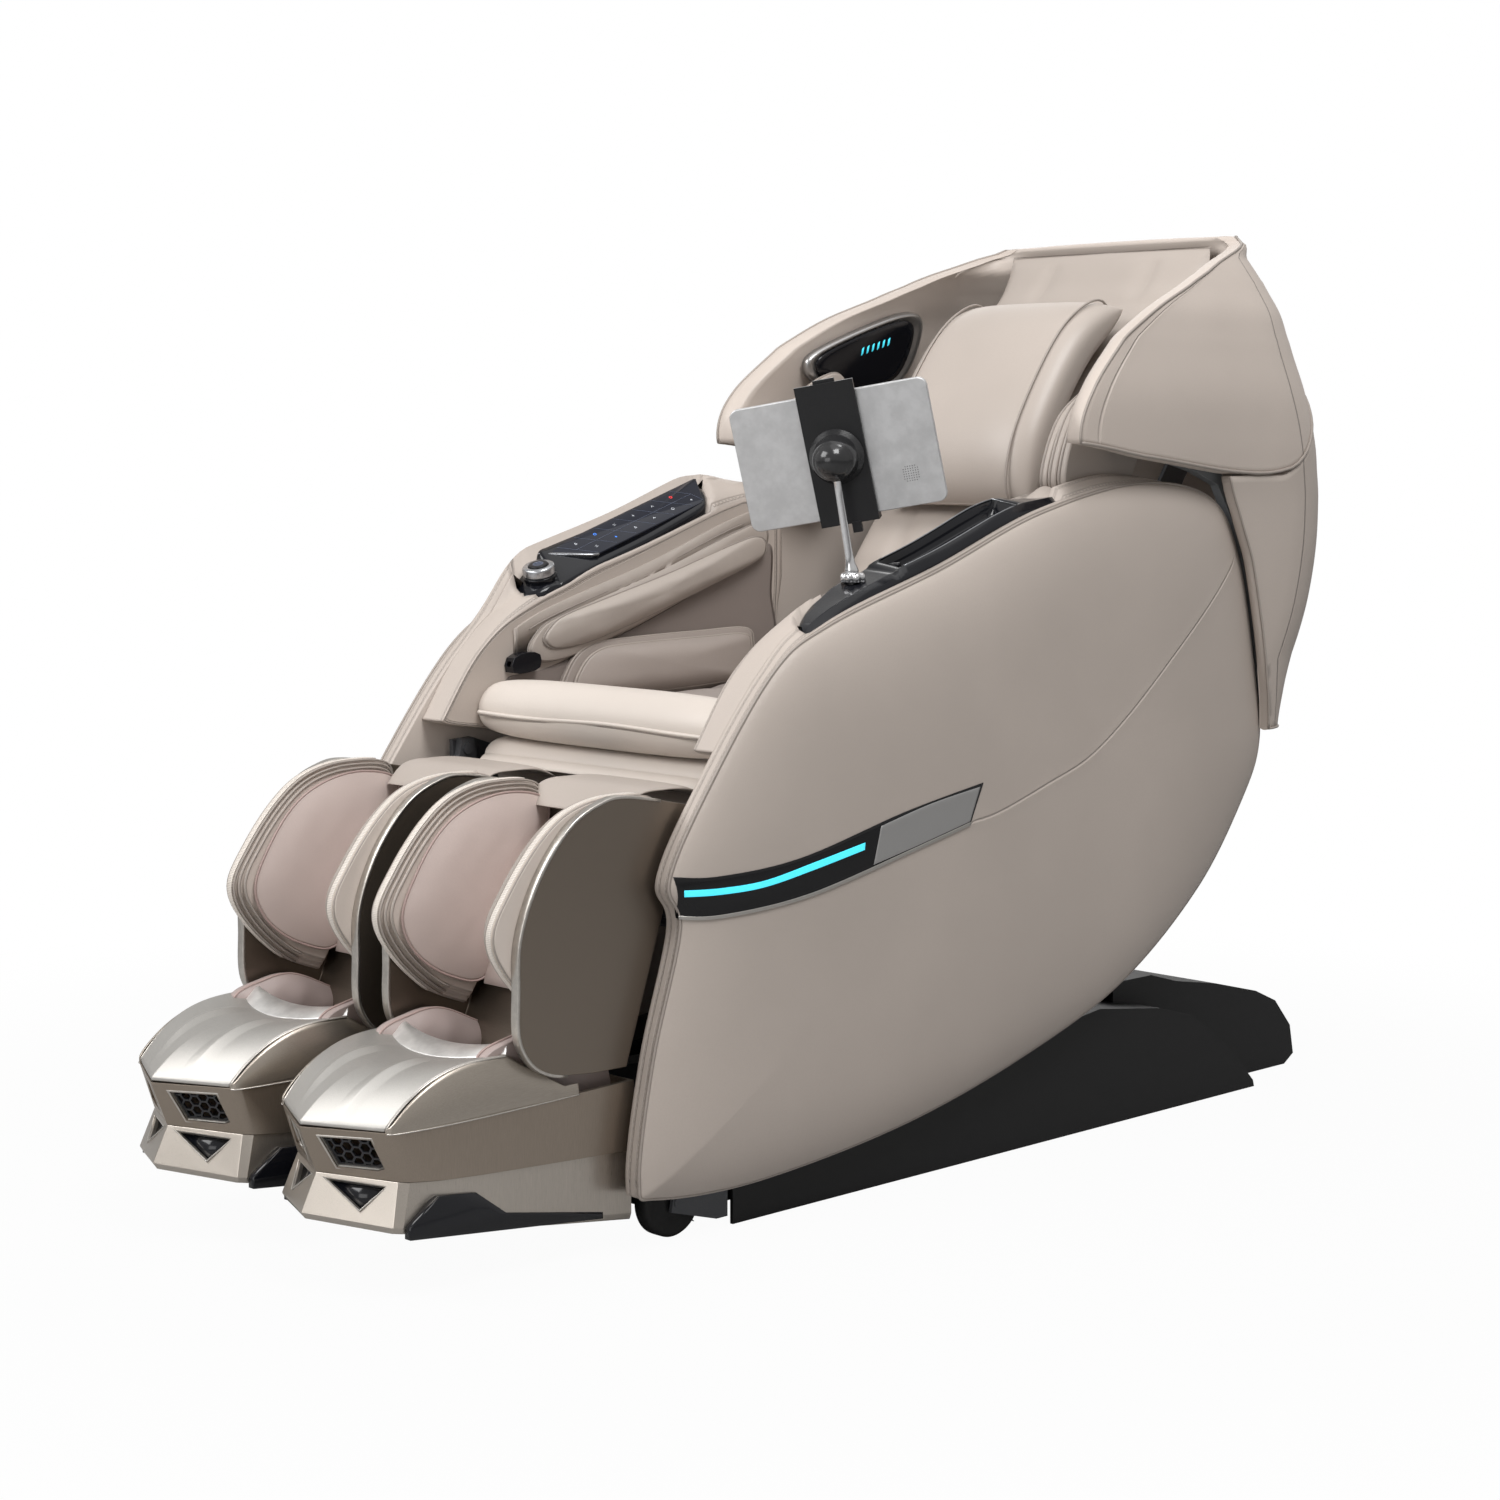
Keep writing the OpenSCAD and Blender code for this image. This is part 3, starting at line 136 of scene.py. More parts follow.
def solid(name, points, faces, smooth=True, **attributes):
    """A mesh from points in millimetres, turned so that its signed volume is positive."""
    points = np.asarray(points, float).reshape(-1, 3)
    volume = sum(np.einsum("ij,ij->i", points[f[:, 0]],
                           np.cross(points[f[:, k]], points[f[:, k + 1]])).sum()
                 for f in faces for k in range(1, f.shape[1] - 1))
    turn = -1 if volume < 0 else 1
    mesh = bpy.data.meshes.new(name)
    mesh.from_pydata((points / 1000).tolist(), [], [row for f in faces for row in f[:, ::turn].tolist()])
    for key, value in attributes.items():
        layer = mesh.attributes.new(key, "FLOAT", "POINT")
        layer.data.foreach_set("value", np.ravel(value).astype(np.float32))
    mesh.polygons.foreach_set("use_smooth", np.full(len(mesh.polygons), smooth))
    mesh.update()
    piece = bpy.data.objects.new(name, mesh)
    scene.collection.objects.link(piece)
    return piece


floor_size = 30000
studio_floor = solid("studio_floor", floor_size * np.array([[-1, -1, 0], [1, -1, 0], [1, 1, 0], [-1, 1, 0]]),
                     [np.array([[0, 1, 2, 3]])])
floor_finish = Finish("pale_floor")
floor_finish.set(Base_Color=(0.42, 0.42, 0.42), Roughness=0.7, Specular_IOR_Level=0.2)
rays = floor_finish.node("ShaderNodeLightPath")
far = floor_finish.node("ShaderNodeVectorMath", {"operation": "LENGTH"}, {0: floor_finish.place()})["Value"]
paper = floor_finish.node("ShaderNodeEmission", {}, {"Color": (1, 1, 1), "Strength": 1.0})
mixed = floor_finish.node("ShaderNodeMixShader", {}, {
    0: rays["Is Camera Ray"] * (far.step(1.0, 2.0) * 0.04 + 0.96),
    1: Tone(floor_finish, floor_finish.shader.outputs[0]), 2: paper})
floor_finish.give(floor_finish.tree.nodes["Material Output"].inputs["Surface"], mixed)
studio_floor.data.materials.append(floor_finish.material)

scene.world = bpy.data.worlds.new("surround")
surround = Finish("surround", scene.world, "Background")
rays = surround.node("ShaderNodeLightPath")
seen = rays["Is Camera Ray"].most(rays["Is Transmission Ray"])
surround.set(Color=surround.blend(seen, (1.0, 0.985, 0.97), (1, 1, 1)),
             Strength=(seen * 0.74 + 0.26).most(rays["Is Glossy Ray"] * 0.52))
for name, place, aim, size, watts in (
        ("front_lamp", (-1.2, -3.0, 3.0), (0, 0.1, 0.6), (2.4, 1.9), 100),
        ("side_lamp", (2.2, -0.7, 4.2), (0.35, 0.3, 1.0), (1.8, 1.8), 128),
        ("top_lamp", (0.2, 0.6, 3.6), (0, 0.3, 0.8), (2.4, 2.4), 14),
        ("low_lamp", (0.8, -3.6, 1.1), (0, -0.6, 0.3), (1.8, 1.2), 16),
        ("rear_lamp", (-2.2, 3.0, 2.0), (0, 0.5, 0.8), (2.0, 2.0), 18)):
    light = bpy.data.lights.new(name, "AREA")
    light.shape, light.energy = "RECTANGLE", watts
    light.size, light.size_y = size
    holder = bpy.data.objects.new(name, light)
    holder.location = place
    holder.rotation_euler = (Vector(aim) - Vector(place)).to_track_quat("-Z", "Y").to_euler()
    scene.collection.objects.link(holder)


# Side panels: board and foam under smooth beige leather, one on each side of the seat.
# A piped seam runs round the outer face, a stitched band faces the front, and a second
# seam crosses the dome behind the inlay; the piped seam's groove is painted shade, and the
# crossing seam is drawn as a painted highlight. Their inner rim carries the padded arm tops.
def between(a, b, c, d, t):
    """Catmull-Rom: half of 2b + (c-a)t + (2a-5b+4c-d)t^2 + (3b-3c+d-a)t^3."""
    return 0.5 * (2 * b + (c - a) * t + (2 * a - 5 * b + 4 * c - d) * t**2 + (3 * b - 3 * c + d - a) * t**3)


def spline(points, steps, closed=False):
    """A smooth line through the points, in equal steps of the Catmull-Rom curve's t."""
    p = np.asarray(points, float)
    n = len(p)
    i = np.arange(n if closed else n - 1)
    ends = [(p[(i + k) % n] if closed else p[np.clip(i + k, 0, n - 1)])[:, None] for k in (-1, 0, 1, 2)]
    q = between(*ends, (np.arange(steps) / steps)[None, :, None]).reshape(-1, p.shape[1])
    return q if closed else np.vstack([q, p[-1:]])


def eased(a, b, x):
    """0 below a, 1 above b, and 3t^2 - 2t^3 between."""
    t = np.clip((x - a) / (b - a), 0, 1)
    return t * t * (3 - 2 * t)


def unit(vectors):
    return vectors / np.linalg.norm(vectors, axis=-1, keepdims=True)


def walked(line):
    """How far along a line each of its points lies."""
    return np.concatenate([[0], np.cumsum(np.linalg.norm(np.diff(line, axis=0), axis=1))])


def at_x(x, line):
    """A side-view line set at x, which is one number or one for each point."""
    return np.column_stack([np.broadcast_to(x, len(line)), line])


def drawn(line, scale, middle=None):
    """An outline scaled about its middle."""
    middle = line.mean(0) if middle is None else middle
    return middle + (line - middle) * scale


def left_of(steps):
    """The steps turned a quarter to the left."""
    return np.stack([-steps[..., 1], steps[..., 0]], -1)


def quads(index):
    """The four-sided faces of a grid of vertex numbers."""
    return np.stack([index[:-1, :-1], index[:-1, 1:], index[1:, 1:], index[1:, :-1]], -1).reshape(-1, 4)


def rings(name, grid, **attributes):
    """A closed surface through rings of points; each end is a fan to its ring's middle."""
    m, n = grid.shape[:2]
    index = np.pad(np.arange(m * n).reshape(m, n), ((0, 0), (0, 1)), "wrap")
    fans = [np.stack([index[ring, :-1], index[ring, 1:], np.full(n, m * n + k)], -1)[:, ::turn]
            for k, (ring, turn) in enumerate(((0, -1), (-1, 1)))]
    spread = {key: np.broadcast_to(value, (m, n)) for key, value in attributes.items()}
    return solid(name, np.concatenate([grid.reshape(-1, 3), grid[:1].mean(1), grid[-1:].mean(1)]),
                 [quads(index), *fans],
                 **{key: np.concatenate([v.ravel(), [v[0].mean(), v[-1].mean()]]) for key, v in spread.items()})


def hoop(name, grid, smooth=True):
    """A closed surface through rings of points whose last ring joins the first."""
    index = np.arange(grid.shape[0] * grid.shape[1]).reshape(grid.shape[:2])
    return solid(name, grid, [quads(np.pad(index, ((0, 1), (0, 1)), "wrap"))], smooth)


def tube(name, path, radius, sides=8, closed=False):
    """A round bead: a circle stands square to the path at each point. Repeated points go."""
    p = np.asarray(path, float)
    p = p[np.r_[True, np.linalg.norm(np.diff(p, axis=0), axis=1) > 0.01]]
    ahead = np.roll(p, -1, 0) - np.roll(p, 1, 0)
    if not closed:
        ahead[0], ahead[-1] = p[1] - p[0], p[-1] - p[-2]
    ahead = unit(ahead)
    across = unit(np.cross(ahead, np.where(np.abs(ahead[:, 2:]) < 0.9, [[0, 0, 1.0]], [[0, 1.0, 0]])))
    turned_over = np.r_[False, np.einsum("ij,ij->i", across[1:], across[:-1]) < 0]
    across *= np.cumprod(np.where(turned_over, -1, 1))[:, None]
    a = (np.arange(sides) / sides * 2 * np.pi)[None, :, None]
    grid = p[:, None] + radius * (np.cos(a) * across[:, None] + np.sin(a) * np.cross(ahead, across)[:, None])
    return (hoop if closed else rings)(name, grid)


def dressed(piece, body, slot, look, *nodes, fill=None):
    """Gives a piece its material, the body it rides on and what it stands for; its slot is not used."""
    piece.data.materials.clear()
    piece.data.materials.append(look)
    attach(piece, body)
    if nodes:
        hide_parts(*nodes)
    return piece


def shade(colour, much, more=0.0):
    return tuple(min(1, c * much + more) for c in colour)


def leather(name, colour, seam="", stitch=(), rough=0.46, soft=0.6, second=""):
    """Smooth upholstery leather: pebbled grain, faint slow unevenness, a sunk seam where the
    named distance is zero, painted darker as shade, and stitches at the given distances from
    it (metres), whose sunk channels are painted darker as shade; a sunk line where the second
    named distance is zero is painted lighter as a highlight."""
    f = Finish(name)
    where = f.place()
    cloudy = f.noise(where, 3.1, 3)
    fine = f.noise(where, 420, 2)
    pebble = f.node("ShaderNodeTexVoronoi", {"feature": "SMOOTH_F1"},
                    {"Vector": where, "Scale": 620, "Smoothness": 0.6})
    base = f.blend(cloudy.step(0.3, 0.75), shade(colour, 0.9), colour)
    base = f.blend(fine.step(0.35, 0.7) * 0.25, base, shade(colour, 0.9))
    roughness = cloudy * 0.10 + fine * 0.08 + (rough - 0.09)
    normal = f.bump(pebble * -0.5 + fine * 0.5, 0.00022, 0.5)
    normal = f.bump(f.noise(where, 9, 3), 0.0035 * soft, 0.35, Normal=normal)
    # Painted light: the seam's groove is painted darker as shade (colour times 0.32), and the second line's
    # groove is painted lighter as a highlight (colour times 1.3).
    for line, deep, painted_light_factor, offsets in ((seam, 0.75, 0.32, stitch), (second, 0.3, 1.3, ())):
        if not line:
            continue
        away = abs(f.attribute(line))
        groove = away.step(0.0026, 0.0004)
        height = away.step(0.016, 0.003) * f.noise(where, 95, 2) * 0.35 - groove
        base = f.blend(groove * deep, base, tuple(c * painted_light_factor for c in colour))
        for offset in offsets:
            run = f.attribute(line) - offset
            dash = abs(run).step(0.0011, 0.0005) * (f.attribute("along") * 900).wave().step(-0.5, 0.1)
            base = f.blend(dash * 0.6, base, shade(colour, 1.35))
            # Painted shade in the sunk channel along each stitch line.
            base = f.blend(abs(run).step(0.0030, 0.0010) * 0.35, base, shade(colour, 0.45))
            height = height + dash * 0.5 - abs(run).step(0.0026, 0.0008) * 0.5
        normal = f.bump(height, 0.0016, 0.9, Normal=normal)
    return f.set(Base_Color=base, Roughness=roughness, Specular_IOR_Level=0.42, Normal=normal)


hide = (0.505, 0.442, 0.395)
# The crossing seam is a painted highlight; the piped seam's groove is painted shade.
panel_leather = leather("panel_leather", hide, "seam", (-0.005, -0.0165), soft=0.3, second="crossing")
piping_leather = leather("piping_leather", shade(hide, 0.72), rough=0.42, soft=0)

panel_inner, panel_seam, panel_dome = 291, 25, 36
arm_crown, bolster, arm_width = 26, 66, 44
panel_points = [
    [-498, 92], [-475, 234], [-431, 386], [-448, 446], [-386, 549], [-275, 685], [-178, 738],
    [24, 800], [221, 868], [434, 906], [594, 884], [664, 797], [710, 620], [722, 526],
    [684, 447], [580, 326], [408, 211], [196, 137], [-40, 84], [-300, 58], [-468, 66]]
panel_outline = spline(panel_points, 18, True)
panel_middle = spline(panel_points, 2, True).mean(0)
seam_line = spline(panel_points[5:10], 12)
crown_profile = spline([[-45, 0.1], [-40, 0.55], [-31, 0.9], [-16, 1], [0, 0.8], [9, 0.72],
                        [17, 0.42], [25, 0]], 6)
bolster_profile = spline([[-45, 0.12], [-40, 0.35], [-31, 0.56], [-16, 0.76], [0, 0.92], [9, 1],
                          [15, 0.97], [21, 0.62], [25, 0]], 6)
tray_plan = [[-40.3, -104], [-30, -166], [-12, -202], [4, -211], [20.3, -211], [20.3, 268], [17.3, 274],
             [-30, 274], [-38, 236], [-40.3, 200]]
housing_plan = [[-41.8, -165], [-29, -185], [7, -185], [14, -172], [14, 174], [-2, 174], [-41.8, 150]]
sides = ((1, "left", tray_plan), (-1, "right", housing_plan))


def seam_z(y):
    return np.interp(y, *seam_line.T)


def risen(line, u, plan):
    """A side-view line pushed out along its normals by the padding's rise at u, the distance
    outwards from the joint of arm and panel; under the plan of the piece let into the top
    it lies a little below that piece's floor instead. The right arm has the bolster too."""
    y, z = line.T
    rise = arm_crown * eased(680, 770, z) * (1 - eased(330, 560, y)) * np.interp(u, *crown_profile.T)
    if plan is housing_plan:
        start = -195 - 75 * eased(-29, 13, u)
        end = -50 - 75 * eased(-38, -12, u)
        high = bolster * eased(590, 720, z) * eased(start, end, y) * (1 - eased(150, 340, y))
        rise = np.maximum(rise, high * np.interp(u, *bolster_profile.T))
    p = line + left_of(unit(np.roll(line, -1, 0) - np.roll(line, 1, 0))) * rise[:, None]
    corner = np.array(plan, float)
    edge = unit(np.roll(corner, -1, 0) - corner)
    away = np.column_stack([np.full(len(p), u), p[:, 0]])[:, None] - corner
    inside = (edge[:, 0] * away[..., 1] - edge[:, 1] * away[..., 0]).min(1) > 0.6
    floor = seam_z(p[:, 0])
    sunk = inside & (p[:, 1] > floor - 12)
    return np.where(sunk[:, None], np.column_stack([p[:, 0], np.minimum(p[:, 1], floor - 1.5)]), p)


def side_of(points, line):
    """Signed distance in metres from points to a line of points, all in the side view."""
    a, e = line[:-1], np.diff(line, axis=0)
    t = np.clip(((points[:, None] - a) * e).sum(-1) / (e * e).sum(-1), 0, 1)
    away = points[:, None] - (a + t[..., None] * e)
    far = np.linalg.norm(away, axis=-1)
    pick = np.arange(len(points)), far.argmin(1)
    return np.sign((-left_of(away[pick]) * e[pick[1]]).sum(-1)) * far[pick] / 1000


def dome_x(s):
    """The panel's outer face: it rises as (1 - s^6)^0.72 from the seam (1) to the middle (0)."""
    return panel_inner + panel_seam + panel_dome * np.clip(1 - np.asarray(s, float) ** 6, 0, 1) ** 0.72


outline_reach = np.linalg.norm(panel_outline - panel_middle, axis=1)
outline_angle = np.arctan2(*(panel_outline - panel_middle).T[::-1])


def share(points):
    """How far out side-view points lie: 0 in the panel's middle, 1 on its seam."""
    d = points - panel_middle
    order = np.argsort(outline_angle)
    reach = np.interp(np.arctan2(d[..., 1], d[..., 0]), outline_angle[order], outline_reach[order],
                      period=2 * np.pi)
    return np.linalg.norm(d, axis=-1) / reach


crossing_seam = spline([[51, 474], [106, 482], [207, 512], [290, 540], [375, 592], [485, 675],
                        [564, 735], [637, 791]], 8)
rim_depths = (0, 1, 4, 8, 12.2, 14.4, 16.5, 18.8, 20.7, 22.3, 23.6, 24.6, 25)
for side, name, plan in sides:
    grid, seam = [], []
    for u in rim_depths:
        tuck = 1.4 * (u > 24.7) + 1.5 * (u == 0)
        p = drawn(risen(panel_outline, u, plan), 1 - tuck / 500, panel_middle)
        grid.append(at_x(side * (panel_inner + u), p))
        seam.append(np.full(len(p), (u - panel_seam) / 1000))
    for s in 1 - np.r_[0.0, 0.0015, 0.004, 0.008, 0.014, 0.022, 0.032, 0.045, np.linspace(0.06, 0.97, 32)]:
        tuck = 1.4 * (s > 0.999)
        grid.append(at_x(side * (dome_x(s) - tuck), drawn(panel_outline, s, panel_middle)))
        seam.append(outline_reach * (1 - s) / 1000 + 0.0002)
    grid = np.array(grid)
    crossing = side_of(grid[..., 1:].reshape(-1, 2), crossing_seam).reshape(grid.shape[:2])
    crossing[:len(rim_depths)] = 1
    panel = rings(f"panel_{name}_leather", grid, seam=np.array(seam), along=walked(panel_outline)[None] / 1000,
                  crossing=crossing)
    dressed(panel, "seat", "hide", panel_leather, f"side_panel_{name}", fill=0.9)
    piping = tube(f"panel_{name}_piping", at_x(side * (panel_inner + panel_seam + 0.2), panel_outline), 1.9,
                  closed=True)
    dressed(piping, "seat", "hide", piping_leather)


# Trims: a glossy black inlay let into each panel's leather, with a lit strip and a bare
# brushed plate in shallow wells, and a thin light edge along its lower side.
def gloss(name, colour, rough=0.12, metal=0.0, coat=0.0, spots=0.0):
    """Moulded or lacquered: even colour with faint handling marks in the gloss."""
    f = Finish(name)
    where = f.place()
    smear = f.noise(where, 14, 4, 0.6)
    dust = f.noise(where, 900, 1)
    base = f.blend(smear.step(0.35, 0.8) * 0.35, colour, shade(colour, 1.12, 0.002))
    if spots:
        base = f.blend(dust.step(0.55, 0.75) * spots, base, shade(colour, 1.5, 0.01))
    return f.set(Base_Color=base, Roughness=smear * 0.08 + dust * 0.03 + (rough - 0.05),
                 Metallic=metal, Coat_Weight=coat, Coat_Roughness=0.05, Specular_IOR_Level=0.3,
                 Normal=f.bump(dust, 0.00004, 0.35))


def brushed(name, colour, rough=0.28, stretch=(1, 60, 60), depth=0.00003):
    """Brushed metal: noise drawn out along the brushing."""
    f = Finish(name)
    lined = f.node("ShaderNodeVectorMath", {"operation": "MULTIPLY"}, {0: f.place(), 1: stretch})
    streak = f.noise(lined, 40, 3, 0.7)
    cloudy = f.noise(f.place(), 6, 3)
    base = f.blend(streak.step(0.3, 0.75), shade(colour, 0.84), colour)
    base = f.blend(cloudy.step(0.4, 0.8) * 0.2, base, shade(colour, 0.9))
    return f.set(Base_Color=base, Metallic=0.9, Roughness=streak * 0.16 + cloudy * 0.05 + (rough - 0.1),
                 Normal=f.bump(streak, depth, 0.4))


def glowing(name, colour, strength):
    """A lit diffuser: even light, a little weaker where the bulbs are far away."""
    f = Finish(name)
    even = f.noise(f.place(), 25, 2)
    tint = f.blend(even.step(0.3, 0.7) * 0.3, colour, shade(colour, 0.85))
    return f.set(Base_Color=tint, Emission_Color=tint, Emission_Strength=strength, Roughness=0.35)


def plank(name, side, low, high, bottom, top, grow=0.0, rows=10, round_off=0.6):
    """A strip laid on the panel's face between two side-view lines: its section runs from the
    lower lift up one edge, across the top with rounded shoulders and down the other edge."""
    away = unit(high - low)
    low, high = low - away * grow, high + away * grow
    for line in (low, high):
        line[0, 0] -= grow
        line[-1, 0] += grow
    r = np.clip((np.arange(rows + 6) - 3) / (rows - 1), 0, 1)
    lift = np.r_[bottom, top - round_off, top - round_off * 0.3, np.full(rows, top),
                 top - round_off * 0.3, top - round_off, bottom]
    inward = round_off * np.r_[0, 0, 0.3, 1, np.zeros(rows - 2), -1, -0.3, 0, 0]
    q = low[:, None] + (high - low)[:, None] * r[None, :, None] + away[:, None] * inward[None, :, None]
    x = dome_x(share(q)) + lift[None]
    return rings(name, np.concatenate([side * x[..., None], q], -1))


trim_high = spline([[-444, 452], [-385, 449], [-257, 460], [-78, 499], [72, 524]], 16)
trim_low = spline([[-434, 401], [-378, 399], [-240, 412], [-60, 449], [47, 472]], 16)
led_high = spline([[-434, 436], [-385, 435], [-320, 438], [-240, 452], [-150, 468]], 12)
led_low = spline([[-433, 427], [-385, 426], [-320, 429], [-240, 442], [-151, 458]], 12)
plate_high = spline([[-122, 486], [-30, 506], [66, 520]], 16)
plate_low = spline([[-136, 437], [-41, 456], [46, 475]], 16)
trim_black = gloss("trim_black", (0.008, 0.008, 0.009), 0.2)
plate_metal = brushed("plate_metal", (0.46, 0.455, 0.45), 0.5)
edge_metal = brushed("edge_metal", (0.52, 0.50, 0.47), 0.3)
cyan_light = glowing("cyan_light", (0.06, 0.62, 0.78), 0.9)
for side, name, _ in sides:
    field = plank(f"trim_{name}_field", side, trim_low, trim_high, -4, 1.1)
    dressed(field, "seat", "gloss_black", trim_black, "side_trims")
    strip = plank(f"light_strip_{name}", side, led_low, led_high, 0.2, 1.7, -0.4, round_off=0.5)
    dressed(strip, "seat", "led", cyan_light, "led_strips")
    plate = plank(f"plate_{name}", side, plate_low, plate_high, 0.2, 1.7, -0.8, round_off=0.5)
    dressed(plate, "seat", "satin_chrome", plate_metal)
    edge = plank(f"trim_{name}_edge", side, trim_low - [0, 1.5], trim_low + [0, 3.0], -2, 2.2, rows=5)
    dressed(edge, "seat", "satin_chrome", edge_metal)

# Arms: foam under the same leather, sewn to the panel along its inner plane. The left one
# has a low crown round the tray, the right one a tall bolster round the controls.
arm_outline = np.vstack([
    spline([[-346, 590]] + panel_points[5:9], 20),
    spline([[286, 884], [286, 820], [286, 700], [286, 600]], 6)[1:],
    spline([[286, 600], [100, 560], [-150, 556], [-262, 574], [-330, 584], [-346, 590]], 6)[1:-1]])
arm_leather = leather("arm_leather", hide, "seam", (-0.006, 0.006), soft=0.9)
arm_walk = walked(arm_outline)[None] / 1000
for side, name, plan in sides:
    grid, seam = [], []
    for depth in (0, 1, 5, 10, 16, 22, 28, 33, 37, 39.2, 40.8, 42.2, 43.2, arm_width):
        p = drawn(risen(arm_outline, -depth, plan), 1 - max(0, depth - 41) ** 2 * 0.0012, arm_outline.mean(0))
        grid.append(at_x(side * (panel_inner - 0.3 - depth), p))
        seam.append(np.full(len(p), (arm_width - depth + 2) / 1000))
    for s in 1 - np.r_[0.012, 0.025, 0.045, np.linspace(0.07, 0.96, 22)]:
        q = drawn(p, s, arm_outline.mean(0))
        puff = 0.4 * np.sin(s * 9)
        grid.append(at_x(side * (panel_inner - 0.5 - arm_width + puff), q))
        seam.append(-np.linalg.norm(q - p, axis=1) / 1000 - 0.002)
    arm = rings(f"arm_{name}_leather", np.array(grid), seam=np.array(seam), along=arm_walk)
    dressed(arm, "seat", "hide", arm_leather, f"arm_{name}", fill=0.8)


# Arm bags: an air bag of thin leather hangs under each arm in two layers with a rolled
# edge, over a dark sheet of painted shade where the arm's overhang shades its inner wall,
# and a stitched band runs above it along the arm's inner side.
def bag(name, outline, x0, x1, crown, power=3.0, wrinkle=0.0, scale=0.03, steps=20, turn=0.0):
    """Flat at x0 and crowned towards x1: x runs to x1 less crown times s to the power, where
    s falls from 1 on the rounded rim to 0 in the middle. Wrinkles are two crossed sines."""
    way = 1 if x1 > x0 else -1
    rim_x = x1 - way * crown
    grid = [at_x(x0, drawn(outline, back)) for back in (0.94, 0.975)]
    for k in np.linspace(0, 1, 5):
        grid.append(at_x(x0 + (rim_x - x0) * k, drawn(outline, 1 - 0.014 * (2 * k - 1) ** 2)))
    for s in 1 - np.r_[0.012, 0.03, np.linspace(0.06, 0.97, steps)]:
        q = drawn(outline, s)
        a = q[:, 0] * np.cos(turn) + q[:, 1] * np.sin(turn)
        b = q[:, 1] * np.cos(turn) - q[:, 0] * np.sin(turn)
        waves = np.sin(a * scale * 6.3 + 2 * np.sin(b * scale * 3)) * (1 - s**2) * s**0.5
        grid.append(at_x(rim_x + way * (crown * (1 - s**power) + wrinkle * waves), q))
    return rings(name, np.array(grid))


def both(piece, body, slot, look, *nodes, fill=None):
    """Dresses a left piece and its mirror image, whose faces are turned the right way out."""
    mesh = piece.data.copy()
    mesh.transform(Matrix.Diagonal((-1, 1, 1, 1)))
    mesh.flip_normals()
    other = bpy.data.objects.new(piece.name.replace("left", "right"), mesh)
    scene.collection.objects.link(other)
    dressed(other, body, slot, look, fill=fill)
    dressed(piece, body, slot, look, *nodes, fill=fill)


arm_face = panel_inner - 0.6 - arm_width
bag_leather = leather("bag_leather", shade(hide, 0.86), soft=1.8, rough=0.44)
taupe_leather = leather("taupe_leather", (0.40, 0.345, 0.312), soft=1.4, rough=0.45)
# Dark leather that paints the shade under the arms' overhang.
lining_leather = leather("lining_leather", (0.25, 0.21, 0.19), soft=1.0, rough=0.5)
edge_leather = leather("edge_leather", shade(hide, 0.60), rough=0.42, soft=0)
outer_bag = spline([[-200, 676], [-190, 696], [-160, 717], [-71, 745], [50, 782], [190, 830], [244, 842],
                    [262, 824], [238, 798], [120, 750], [0, 706], [-90, 676], [-140, 664],
                    [-182, 662]], 7, True)
inner_bag = drawn(outer_bag, [0.93, 0.80]) + [8, 2]
arm_shade_line = spline([[-236, 640], [-170, 650], [0, 700], [200, 778], [272, 812], [276, 740], [276, 640],
                      [120, 580], [-140, 572], [-222, 590]], 8, True)
# Painted shade: a dark sheet on each arm's inner wall below the bags.
both(bag("arm_lining_left", arm_shade_line, arm_face + 1, arm_face - 2.2, 1.6, 6),
     "seat", "taupe_hide", lining_leather, fill=0.9)
both(bag("arm_bag_outer_left", outer_bag, arm_face, arm_face - 16, 7, wrinkle=1.2, scale=0.012, turn=0.4),
     "seat", "taupe_hide", bag_leather, "arm_bags", fill=0.5)
both(bag("arm_bag_inner_left", inner_bag, arm_face - 10, arm_face - 30, 15, wrinkle=1.6, scale=0.015, turn=1.0),
     "seat", "taupe_hide", bag_leather, fill=0.5)
band_y = np.linspace(-222, 236, 40)
band_z = seam_z(band_y)
band_line = np.vstack([np.column_stack([band_y, band_z - 9]), np.column_stack([band_y, band_z - 46])[::-1]])
both(bag("arm_side_band_left", band_line, arm_face + 1, arm_face - 8, 5, 2.2, wrinkle=0.5),
     "seat", "hide", bag_leather, fill=0.6)
for name, drop, x in (("upper", -22, arm_face - 7.0), ("lower", -42, arm_face - 4.4)):
    stitch = np.column_stack([band_y, band_z + drop])[2:38]
    both(tube(f"arm_side_{name}_stitch_left", at_x(x, stitch), 0.8), "seat", "hide", edge_leather)
for name, line, x in (("outer", outer_bag, arm_face - 5.5), ("inner", inner_bag, arm_face - 13)):
    bead = tube(f"arm_bag_{name}_bead_left", at_x(x, line), 1.5, closed=True)
    both(bead, "seat", "taupe_hide", edge_leather)

# Hip pads: rounded air cushions in taupe leather beside the seat, each edged with light
# piping and backed by a second, flatter layer against the arm.
hip_line = spline([[-142, 614], [-130, 652], [-98, 678], [-40, 686], [120, 690], [212, 690], [228, 668],
                   [224, 632], [200, 612], [40, 602], [-84, 602]], 8, True)
hip_inner = drawn(hip_line, [0.92, 0.82])
both(bag("hip_pad_back_left", hip_line, arm_face, arm_face - 18, 6, wrinkle=0.6, scale=0.012),
     "seat", "taupe_hide", taupe_leather, "hip_pads", fill=0.7)
both(bag("hip_pad_front_left", hip_inner, arm_face - 14, arm_face - 38, 16, wrinkle=0.8, scale=0.01),
     "seat", "taupe_hide", taupe_leather, fill=0.8)
for name, line, x in (("back", hip_line, arm_face - 10), ("front", hip_inner, arm_face - 21)):
    bead = tube(f"hip_pad_{name}_bead_left", at_x(x, line), 1.7, closed=True)
    both(bead, "seat", "taupe_hide", bag_leather)


